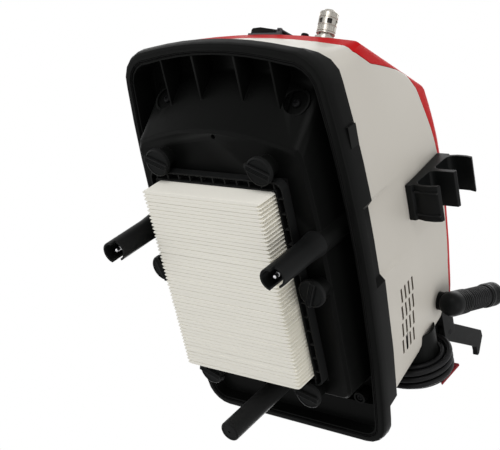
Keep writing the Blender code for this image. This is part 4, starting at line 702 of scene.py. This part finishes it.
def makePleat(look):
    pitch = 2 * look["halfY"] / look["count"]
    height = look["top"] - look["backing"] + 1 - look["low"]
    centre = atHead(0, 0, look["low"] + height / 2)
    leaf = block("pleatLeaf", (2 * look["halfX"], pitch, height), centre)
    startEdit(leaf)
    for x, _ in look["alongX"][1:]:
        for side in {x, -x}:
            bpy.ops.mesh.select_all(action="SELECT")
            bpy.ops.mesh.bisect(plane_co=atHead(side, 0, 0), plane_no=(1, 0, 0))
    for up, _ in look["alongZ"][1:]:
        bpy.ops.mesh.select_all(action="SELECT")
        bpy.ops.mesh.bisect(plane_co=atHead(0, 0, look["low"] + up), plane_no=(0, 0, 1))
    near = 0.05 * mm
    for x, share in look["alongX"]:
        pickPoints(leaf, lambda co: abs(abs(co.x - headOrigin.x) - x * mm) < near)
        bpy.ops.transform.resize(value=(1, share, 1), center_override=centre)
    for up, share in look["alongZ"]:
        level = atHead(0, 0, look["low"] + up).z
        pickPoints(leaf, lambda co: abs(co.z - level) < near)
        bpy.ops.transform.resize(value=(1, share, 1), center_override=centre)
    for x, lift in look["endLift"]:
        for up, _ in look["alongZ"][:3]:
            level = atHead(0, 0, look["low"] + up).z
            pickPoints(leaf, lambda co: abs(abs(co.x - headOrigin.x) - x * mm) < near
                       and abs(co.z - level) < near)
            bpy.ops.transform.translate(value=(0, 0, lift * mm))
    endEdit()
    return leaf, pitch


def makePleats(look):
    leaf, pitch = makePleat(look)
    pieces = []
    for place in range(look["count"]):
        copy = twin(leaf)
        y = look["middleY"] - look["halfY"] + pitch * (place + 0.5)
        copy.location = Vector((random.uniform(-0.3, 0.3),
                                y + random.uniform(-1, 1) * look["shift"],
                                random.uniform(0, 0.35))) * mm
        settle(copy)
        startEdit(copy)
        middle = atHead(0, y, look["top"])
        lean = math.radians(random.uniform(-1, 1) * look["lean"])
        bpy.ops.transform.rotate(value=lean, orient_axis="X", center_override=middle)
        lean = math.radians(random.uniform(-1, 1) * 0.08)
        bpy.ops.transform.rotate(value=lean, orient_axis="Z", center_override=middle)
        endEdit()
        pieces.append(copy)
    bpy.data.objects.remove(leaf)
    top = look["top"]
    size = (2 * look["halfX"], 2 * look["halfY"], look["backing"])
    backing = block("pleatBacking", size, atHead(0, look["middleY"], top - look["backing"] / 2))
    softEdges(backing, 0.3)
    pack = joinPieces([backing] + pieces, "filterPleats")
    finishPiece(pack, looks["filterPaper"], "filter_pleats", angle=50)


makePleats(pleatLook)

frameLook = {
    "halfX": 108,
    "halfY": 143.8,
    "middleY": 37.7,
    "top": -34.1,
    "low": -47.1,
    "round": 12,
    "lip": 2.2,
    "plate": 3,
    "inner": (98.7, 133.6, 2.3),  # half sizes and wall of the frame's inner wall
    "ribsAlong": 13,
    "ribPitchAlong": 20.33,
    "ribsAcross": 11,
    "ribPitchAcross": 19.16,
    "rib": 1.7,
    "ribLow": -46.2,
}


def ringWall(name, halfX, halfY, corner, wall, low, high, middleY):
    clearSelection()
    bpy.ops.mesh.primitive_plane_add(size=2, location=atHead(0, middleY, low))
    piece = bpy.context.active_object
    piece.name = name
    piece.scale = (halfX * mm, halfY * mm, 1)
    settle(piece)
    startEdit(piece)
    bpy.ops.mesh.bevel(offset=corner * mm, segments=6, affect="VERTICES")
    bpy.ops.mesh.select_all(action="SELECT")
    bpy.ops.mesh.select_mode(type="FACE")
    bpy.ops.mesh.inset(thickness=wall * mm)
    bpy.ops.mesh.delete(type="FACE")
    bpy.ops.mesh.select_all(action="SELECT")
    bpy.ops.mesh.extrude_region_move(TRANSFORM_OT_translate={"value": (0, 0, (high - low) * mm)})
    bpy.ops.mesh.select_all(action="SELECT")
    bpy.ops.mesh.normals_make_consistent(inside=False)
    endEdit()
    return piece


def makeFrame(look):
    halfX, halfY, middleY = look["halfX"], look["halfY"], look["middleY"]
    top, low = look["top"], look["low"]
    innerX, innerY, innerWall = look["inner"]
    pieces = [
        ringWall("frameLip", halfX, halfY, look["round"], look["lip"], low, top, middleY),
        ringWall("frameWall", innerX, innerY, 2, innerWall, low, top, middleY),
        ringWall("framePlate", halfX - 0.4, halfY - 0.4, look["round"], 11.2, top - look["plate"],
                 top - 0.1, middleY),
    ]
    for piece in pieces:
        softEdges(piece, 0.35, 2)
    ribs = []
    high = top - look["plate"] + 0.3
    deep = high - look["ribLow"]
    middle = (high + look["ribLow"]) / 2
    for place in range(look["ribsAlong"]):
        y = middleY + (place - (look["ribsAlong"] - 1) / 2) * look["ribPitchAlong"]
        long = halfX - innerX
        for side in (-1, 1):
            spot = atHead(side * (halfX + innerX) / 2, y, middle)
            ribs.append(block("frameRib", (long - 1, look["rib"], deep), spot))
    for place in range(look["ribsAcross"]):
        x = (place - (look["ribsAcross"] - 1) / 2) * look["ribPitchAcross"]
        long = halfY - innerY
        for side in (-1, 1):
            spot = atHead(x, middleY + side * (halfY + innerY) / 2, middle)
            ribs.append(block("frameRib", (look["rib"], long - 1, deep), spot))
    ladder = joinPieces(ribs, "frameLadder")
    softEdges(ladder, 0.25, 2)
    finishPiece(joinPieces(pieces + [ladder], "filterFrame"), looks["knobBlack"], "filter_frame")


makeFrame(frameLook)
print("filter made")


# clamping knobs

knobLook = {
    "radius": 18.5,
    "top": -47.4,
    "thick": 7,
    "gripWide": 8,
    "gripHigh": 2.2,
    "grooves": 3,
    "tab": (7, 6, 4.5),  # pointer at the grip's end: length, width, depth
    "spots": ((-83, -120.8, 199), (83, -120.8, 201), (-83, 196.2, 20), (83, 196.2, 194),
              (-124, 37.7, 75), (124, 37.7, 113)),
}


def makeKnob(look):
    centre = atHead(0, 0, look["top"])
    radius = look["radius"]
    thick = look["thick"]
    rings = [(4, -12), (4, 0), (radius - 0.8, 0), (radius, 0.8), (radius, thick - 1.6),
             (radius - 0.5, thick - 0.9), (radius - 1.6, thick - 0.5), (radius - 2.2, thick - 0.5),
             (radius - 2.8, thick - 1.2), (2, thick - 1.2)]
    disc = turned("knobDisc", rings, centre, (0, 0, -1), 56)
    long = 2 * radius - 1.4
    high = look["gripHigh"] + 2.2
    low = thick + look["gripHigh"] - high / 2
    grip = block("knobGrip", (long, look["gripWide"], high), centre - Vector((0, 0, low)) * mm)
    softEdges(grip, 0.6, 2)
    pitch = look["gripWide"] / (look["grooves"] + 1)
    for place in range(look["grooves"]):
        y = pitch * (place + 1) - look["gripWide"] / 2
        spot = centre + Vector((0, y, -thick - look["gripHigh"])) * mm
        carve(grip, block("knobGroove", (long - 3, 0.8, 1.4), spot))
    length, width, deep = look["tab"]
    spot = centre + Vector((radius - 0.5, 0, -thick / 2 - 1)) * mm
    tab = block("knobTab", (length, width, deep), spot)
    softEdges(tab, 0.6, 2)
    return joinPieces([disc, grip, tab], "knobPattern")


def makeKnobs(look):
    pattern = makeKnob(look)
    for number, (x, y, turn) in enumerate(look["spots"], 1):
        knob = twin(pattern)
        knob.name = f"clampingKnob_{number}"
        knob.rotation_euler = (0, 0, math.radians(turn))
        spot = atHead(x, y, 0)
        spot.z = 0
        shift = atHead(0, 0, 0)
        shift.z = 0
        shift.rotate(Matrix.Rotation(math.radians(turn), 3, "Z"))
        knob.location = spot - shift
        settle(knob)
        finishPiece(knob, looks["knobBlack"], f"filter_knob_{number}")
    bpy.data.objects.remove(pattern)


makeKnobs(knobLook)
print("knobs made")


# feet

for side in ("left", "right"):
    guard = refined(f"electrode_guard_{side}", f"electrodeGuard_{side}", 0.5)
    finishPiece(guard, looks["knobBlack"], f"electrode_guard_{side}")

electrodeLook = {"radius": 2.6, "top": -50.3, "tip": -118.5, "x": 130, "y": -22}


def makeElectrode(side, name, look):
    x = look["x"] if side == "right" else -look["x"]
    top, tip = look["top"], look["tip"]
    radius = look["radius"]
    rings = [(11.7, top), (11.7, top - 5.4), (11.1, top - 6), (5, top - 6.4), (radius, top - 8),
             (radius, tip + 9), (radius + 0.5, tip + 8.6), (radius + 0.5, tip + 7.4),
             (radius, tip + 7), (radius, tip + 1.6), (radius - 0.5, tip + 0.6),
             (radius - 1.6, tip)]
    pin = turned(name, rings, atHead(x, look["y"], 0), (0, 0, 1), 24)
    finishPiece(pin, looks["plainSteel"], f"electrode_{side}")


for side in ("left", "right"):
    makeElectrode(side, f"electrodePin_{side}", electrodeLook)

postLook = {"radius": 14.25, "wall": 3, "top": 35.7, "foot": -126}


def makePost(look):
    radius, foot, top = look["radius"], look["foot"], look["top"]
    inner = radius - look["wall"]
    rings = [(0.5, foot + 3), (inner, foot + 3), (inner, top), (radius, top), (radius, foot + 2),
             (radius - 0.5, foot + 0.9), (radius - 1.4, foot + 0.2), (radius - 2.2, foot),
             (radius - 3.4, foot), (radius - 3.8, foot + 0.5), (2, foot + 0.5), (2, foot + 1.2),
             (0.5, foot + 1.2)]
    post = turned("supportPost", rings, atHead(0, 226, 0), (0, 0, 1), 48)
    finishPiece(post, looks["knobBlack"], "support_post")


makePost(postLook)
print("feet made")


# white and red housing

shellLook = {
    "edge": 0.5,
    "ventLow": (0, 98, 70),
    "ventHigh": (0, 196, 121),
    "ventOut": 138,
    "across": 0.6,  # the walls of a slot stand across the side's wall
}


def makeShell(look):
    shell = refined("body_shell", "bodyShell", look["edge"], flat=0.05)
    giveLooks(shell, "shellWhite", "ventPaintedShade")
    low, high = atHead(*look["ventLow"]), atHead(*look["ventHigh"])

    def inVent(face):
        x, y, z = middleOf(face)
        return (abs(face.normal.x) < look["across"] and abs(x - low.x) > look["ventOut"] * mm
                and low.y < y < high.y and low.z < z < high.z)

    # the walls inside the vent slots get the dark brown painted shade, standing in for the shadow
    # inside the slots
    startEdit(shell, "FACE")
    pickFaces(shell, inVent)
    paintPicked()
    endEdit()
    finishPiece(shell, None, "body_shell")


makeShell(shellLook)
panel = refined("front_panel", "frontPanel", 0.45)
finishPiece(panel, looks["shellRed"], "front_panel")

screenLook = {
    "size": (1.2, 112, 62),
    "place": (148.8, 147, 95),  # behind the vents
    "lean": -0.1,
    "taper": 0.072,
    "rim": 3,
    "sunk": 0.3,
}


def makeScreen(side, name, look):
    x, y, z = look["place"]
    turn = (0, side * look["lean"], side * look["taper"])
    screen = block(name, look["size"], atHead(side * x, y, z), turn)
    startEdit(screen, "FACE")
    pickFaces(screen, lambda face: abs(face.normal.x) > 0.9)
    bpy.ops.mesh.inset(thickness=look["rim"] * mm, depth=-look["sunk"] * mm, use_individual=True)
    endEdit()
    finishPiece(screen, looks["trayRubber"], like="body_shell")


for side in (-1, 1):
    makeScreen(side, f"ventScreen_{'left' if side < 0 else 'right'}", screenLook)

trayLook = {
    "height": 256,
    "size": (206, 204),
    "round": 12,
    "depth": 1.6,
    "ribs": 13,
    "ribPitch": 14,
    "ribSize": (190, 5, 1.6),
    "middleY": 20,
}


def makeCover(look):
    cover = refined("top_cover", "topCover", 0.45)
    middle = atHead(0, look["middleY"], look["height"])
    tray = block("tray", (*look["size"], 2 * look["depth"]), middle)
    startEdit(tray, "EDGE")
    shape = bmesh.from_edit_mesh(tray.data)
    for edge in shape.edges:
        one, two = (point.co for point in edge.verts)
        edge.select_set(abs(one.z - two.z) > mm)
    bmesh.update_edit_mesh(tray.data)
    bpy.ops.mesh.bevel(offset=look["round"] * mm, segments=6, affect="EDGES")
    endEdit()
    carve(cover, tray)
    finishPiece(cover, looks["shellRed"], "top_cover")
    ribs = []
    for place in range(look["ribs"]):
        y = look["middleY"] + (place - (look["ribs"] - 1) / 2) * look["ribPitch"]
        spot = atHead(0, y, look["height"] - look["depth"] + look["ribSize"][2] / 2 - 0.2)
        rib = block("trayRib", look["ribSize"], spot)
        softEdges(rib, 0.6, 2)
        ribs.append(rib)
    mat = joinPieces(ribs, "trayRibs")
    finishPiece(mat, looks["trayRubber"], like="top_cover")


makeCover(trayLook)
print("housing made")


# accessory clip

clipLook = {
    "root": 169.28,  # x of the plate's face between the fins
    "rootRound": 8,
    "edge": 0.9,
    "ribs": (-17, 15),
    "rib": (33, 1.8, 4.5),
    "ribPlace": (187, 134.9),  # x and z of the ribs under the lowest fin
}


def makeClip(look):
    clip = refined("accessory_clip", "accessoryClip", 0)
    startEdit(clip, "EDGE")
    root = atHead(look["root"], 0, 0).x
    low, high = atHead(0, 0, 141).z, atHead(0, 0, 231).z
    shape = bmesh.from_edit_mesh(clip.data)
    bpy.ops.mesh.select_all(action="DESELECT")
    for edge in shape.edges:
        one, two = (point.co for point in edge.verts)
        atRoot = max(abs(one.x - root), abs(two.x - root)) < 0.3 * mm
        edge.select_set(atRoot and low < one.z < high and abs(one.y - two.y) > 20 * mm)
    bmesh.update_edit_mesh(clip.data)
    bpy.ops.mesh.bevel(offset=look["rootRound"] * mm, segments=5, affect="EDGES")
    endEdit()
    softEdges(clip, look["edge"], 3)
    x, z = look["ribPlace"]
    ribs = [block("clipRib", look["rib"], atHead(x, y, z)) for y in look["ribs"]]
    for rib in ribs:
        softEdges(rib, 0.4, 2)
    finishPiece(joinPieces([clip] + ribs, "accessoryClip"), looks["knobBlack"], "accessory_clip")


makeClip(clipLook)


# panel pieces: coupler, button, selector, socket and its lid

couplerLook = {"x": 88, "v": 19.5, "segments": 48}


def makeCoupler(look):
    centre = onPanel(look["x"], look["v"])
    core = refined("coupler_body", "couplerBody", 0.3)
    finishPiece(core, looks["nickel"], "coupler_body")
    rings = [(8.8, 8.4), (11.3, 8.4), (12, 9.1), (12, 10.4), (11.5, 10.8), (11.5, 11.4),
             (12, 11.8), (12, 18.6), (11.5, 19), (11.5, 19.6), (12, 20), (12, 20.7), (12, 27),
             (12, 27.8), (11.4, 28.2), (11.4, 28.9), (12, 29.3), (12, 35.2), (11.2, 36.6),
             (10.4, 37), (8.8, 37), (8.8, 8.4)]
    sleeve = turned("couplerSleeve", rings, centre, panelOut, look["segments"], ring=True)
    giveLooks(sleeve, "nickel", "windowDark")
    startEdit(sleeve, "FACE")

    def outer(face, low, high):
        offset = middleOf(face) - centre
        along = offset.dot(panelOut) / mm
        away = (offset - panelOut * offset.dot(panelOut)).length / mm
        return low < along < high and away > 11.5 and abs(face.normal.dot(panelOut)) < 0.2

    def around(face):
        offset = middleOf(face) - centre
        return math.atan2(offset.dot(panelUp), offset.x) % (2 * math.pi)

    step = 2 * math.pi / look["segments"]
    for low, high in ((12, 18.5), (29.5, 35)):  # knurled bands
        pickFaces(sleeve, lambda face: outer(face, low, high) and int(around(face) / step) % 2 == 0)
        bpy.ops.mesh.inset(thickness=0.12 * mm, depth=-0.3 * mm, use_individual=True)
    pickFaces(sleeve, lambda face: outer(face, 21, 26.8) and int(around(face) / step) % 8 < 4)
    bpy.ops.mesh.inset(thickness=0.15 * mm, depth=-2.2 * mm)
    paintPicked()
    endEdit()
    smoothed(sleeve)
    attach(sleeve, nodes["coupler_sleeve"]["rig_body"])
    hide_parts("coupler_sleeve")


makeCoupler(couplerLook)

selectorLook = {
    "x": -75,
    "v": 45,
    "radius": 23,
    "low": 1.5,
    "high": 8.5,
    "dots": 9,
    "dotRing": 28.5,
}


def makeSelector(look):
    centre = onPanel(look["x"], look["v"])
    radius, low, high = look["radius"], look["low"], look["high"]
    rings = [(3.5, -12), (3.5, low), (radius - 0.6, low), (radius, low + 0.8), (radius, low + 1.8),
             (radius - 0.7, low + 2.4), (radius - 1.2, high - 1.6), (radius - 2, high - 0.5),
             (radius - 3.2, high), (radius - 6, high), (radius - 7.5, high - 0.9),
             (0.5, high - 0.9)]
    knob = turned("selectorKnob", rings, centre, panelOut, 72)
    startEdit(knob, "FACE")

    def flute(face):
        offset = middleOf(face) - centre
        along = offset.dot(panelOut) / mm
        away = (offset - panelOut * offset.dot(panelOut)).length / mm
        turn = math.atan2(offset.dot(panelUp), offset.x) % (2 * math.pi)
        inBand = low + 2.5 < along < high - 1.6 and away > radius - 1.6
        return inBand and int(turn / (2 * math.pi) * 72) % 3 == 0

    pickFaces(knob, flute)
    bpy.ops.mesh.inset(thickness=0.1 * mm, depth=-0.7 * mm, use_individual=True)
    endEdit()
    spot = centre + (panelUp * 11 + panelOut * (high - 0.4)) * mm
    grip = block("selectorGrip", (6, 32, 5), centre + panelOut * (high - 1) * mm, (panelTilt, 0, 0))
    softEdges(grip, 0.9, 3)
    line = block("selectorLine", (1.4, 12, 1), spot + panelOut * 1.5 * mm, (panelTilt, 0, 0))
    softEdges(line, 0.2, 1)
    knob.data.materials.append(looks["knobBlack"])
    grip.data.materials.append(looks["knobBlack"])
    line.data.materials.append(looks["printedWhite"])
    knob = joinPieces([knob, grip, line], "selectorKnob")
    smoothed(knob)
    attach(knob, nodes["selector_knob"]["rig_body"])
    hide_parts("selector_knob")
    dots = []
    for place in range(look["dots"]):
        turn = math.radians(-45 + 270 * place / (look["dots"] - 1))
        x = look["x"] + look["dotRing"] * math.cos(turn)
        v = look["v"] + look["dotRing"] * math.sin(turn)
        size = 0.9 + 0.9 * (1 - place / (look["dots"] - 1))
        dots.append(turned("scaleDot", [(size, -1), (size, 0.25), (size - 0.3, 0.4)],
                           onPanel(x, v), panelOut, 16))
    scale = joinPieces(dots, "selectorScale")
    finishPiece(scale, looks["printedWhite"], like="front_panel")


makeSelector(selectorLook)

button = turned("panelButton", [(7, -5.9), (7, -3.9), (5, -3.9), (5, 4.2), (4.7, 5.1), (4, 5.7),
                                (3, 5.7), (2.4, 5.3), (0.5, 5.2)], onPanel(64, 11), panelOut, 36)
finishPiece(button, looks["knobBlack"], "panel_button")
insert = refined("socket_insert", "socketInsert", 0.4)
finishPiece(insert, looks["greyPlastic"], "socket_insert")
lid = refined("socket_lid", "socketLid", 0.9, 3)
finishPiece(lid, looks["knobBlack"], "socket_lid")
print("panel pieces made")


# suction hose

hoseLook = {
    "centre": (168, 184, 197),
    "ribs": 9,
    "pitch": 5.5,
    "first": 5,
    "outer": 16.6,
    "valley": 15.0,
    "bore": 12.5,
    "elbowRibs": 4,
}


def makeHose(look):
    centre = atHead(*look["centre"])
    rings = [(1, -25), (6.5, -24.5), (11, -22.8), (14.6, -19.6), (16.8, -15.2), (17.8, -10),
             (17.8, -1.4)]
    for rib in range(look["elbowRibs"]):
        low = rib * look["pitch"] - 0.6
        rings += [(16.5, low), (16.5, low + 1.2), (17.6, low + 2), (17.8, low + 3.2),
                  (17.6, low + 4.4)]
    rings += [(16.5, 21.4), (16.5, 22), (17.6, 22.6), (17.6, 24.4), (17, 25), (12.5, 25),
              (12.5, -6), (1, -6)]
    elbow = turned("hoseElbow", rings, centre, hoseAxis, 48)
    neck = turned("elbowNeck", [(13, -31), (13, -17), (14.4, -15), (14.4, 0), (12, 6)], centre,
                  (1, 0, 0), 40)
    elbow = joinPieces([elbow, neck], "hoseElbow")
    finishPiece(elbow, looks["knobBlack"], "hose_elbow")
    start = 25.3
    outer, valley = look["outer"], look["valley"]
    rings = [(look["bore"], 0), (valley + 0.6, 0), (valley + 0.6, 3.6), (valley, 4.2)]
    for rib in range(look["ribs"]):
        middle = look["first"] + (rib + 0.5) * look["pitch"]
        rings += [(valley, middle - 2.2), (outer - 0.35, middle - 1.3), (outer, middle),
                  (outer - 0.35, middle + 1.3), (valley, middle + 2.2)]
    end = 2 * look["first"] + look["ribs"] * look["pitch"]
    rings += [(valley, end - 4.2), (valley + 0.6, end - 3.6), (valley + 0.6, end),
              (look["bore"], end), (look["bore"], 0)]
    hose = turned("suctionHose", rings, centre + hoseAxis * start * mm, hoseAxis, 48, ring=True)
    finishPiece(hose, looks["hoseRubber"], "suction_hose", angle=50)
    start += end + 0.3
    rings = [(12.5, 0), (17, 0), (17.4, 0.6), (17.4, 4), (18, 4.6), (18, 10)]
    for groove in range(4):
        low = 10.6 + groove * 3.4
        rings += [(18, low), (17.2, low + 0.5), (17.2, low + 1.5), (18, low + 2)]
    rings += [(18, 29.2), (17.2, 30), (15, 30), (12.5, 30), (12.5, 0)]
    cuff = turned("hoseCuff", rings, centre + hoseAxis * start * mm, hoseAxis, 48, ring=True)
    finishPiece(cuff, looks["knobBlack"], "hose_cuff")


makeHose(hoseLook)
print("hose made")


# rear pieces: hanger arm, hooks and cord gland

for node, name, width, look in (
    ("hanger_arm", "hangerArm", 0.9, "knobBlack"),
    ("hanger_bracket", "hangerBracket", 0.7, "knobBlack"),
    ("cord_gland", "cordGland", 0.7, "knobBlack"),
):
    finishPiece(refined(node, name, width, 3), looks[look], node)

hookLook = {"edge": 0.8, "lipFrom": 280.8, "tipFrom": 154.5, "tipOut": 8, "tipDown": 10}


def makeHook(side, look):
    hook = refined(f"cable_hook_{side}", f"cableHook_{side}", look["edge"], 3)
    giveLooks(hook, "casingBlack", "hookShadedRed")
    startEdit(hook, "FACE")
    start = atHead(0, look["lipFrom"], 0).y
    # the hook's lip takes the darker red, painted shade
    pickFaces(hook, lambda face: middleOf(face).y > start)
    paintPicked()
    bpy.ops.mesh.select_mode(type="VERT")
    out = 1 if side == "right" else -1
    middle = atHead(0, 0, 170)  # of the lip's height

    def atTip(co):
        return co.y > start and out * (co.x - middle.x) > look["tipFrom"] * mm

    pickPoints(hook, atTip)
    bpy.ops.transform.translate(value=(out * look["tipOut"] * mm, 0, 0))
    pickPoints(hook, lambda co: atTip(co) and co.z < middle.z)
    bpy.ops.transform.translate(value=(0, 0, -look["tipDown"] * mm))
    endEdit()
    finishPiece(hook, None, f"cable_hook_{side}")


for side in ("left", "right"):
    makeHook(side, hookLook)

reliefLook = {"tip": (-92, 246, 150), "ribs": 6, "pitch": 4, "small": 6.0, "large": 9.0}


def makeRelief(look):
    tip = atHead(*look["tip"])
    ribs = []
    for place in range(look["ribs"]):
        at = -1.6 - place * look["pitch"]
        radius = look["small"] + (look["large"] - look["small"]) * -at / 31 + 0.75
        rings = [(radius - 1.2, at + 0.9), (radius, at + 0.5), (radius, at - 0.5),
                 (radius - 1.2, at - 0.9)]
        ribs.append(turned("reliefRib", rings, tip, (1, 0, 0), 28))
    relief = joinPieces(ribs, "cordRelief")
    finishPiece(relief, looks["cordRubber"], like="cord_gland")


makeRelief(reliefLook)
print("rear pieces made")


# what stays as it is, inside and small

keptLooks = {
    "filter_gasket": "sealRubber",
    "hanger_pin": "darkSteel",
    "lid_pin": "knobBlack",
    "motor_mount_ring": "sealRubber",
    "fan_housing": "greyPlastic",
    "motor_can": "plainSteel",
    "stator": "winding",
    "lower_bearing": "plainSteel",
    "upper_bearing": "plainSteel",
    "rotor_shaft": "plainSteel",
    "impeller": "greyPlastic",
    "cleaning_magnet": "winding",
    "magnet_plunger": "plainSteel",
    "control_board": "boardGreen",
}
for node, look in keptLooks.items():
    for holder in nodes[node].material_slots:
        holder.material = looks[look]
print("inside pieces dressed")
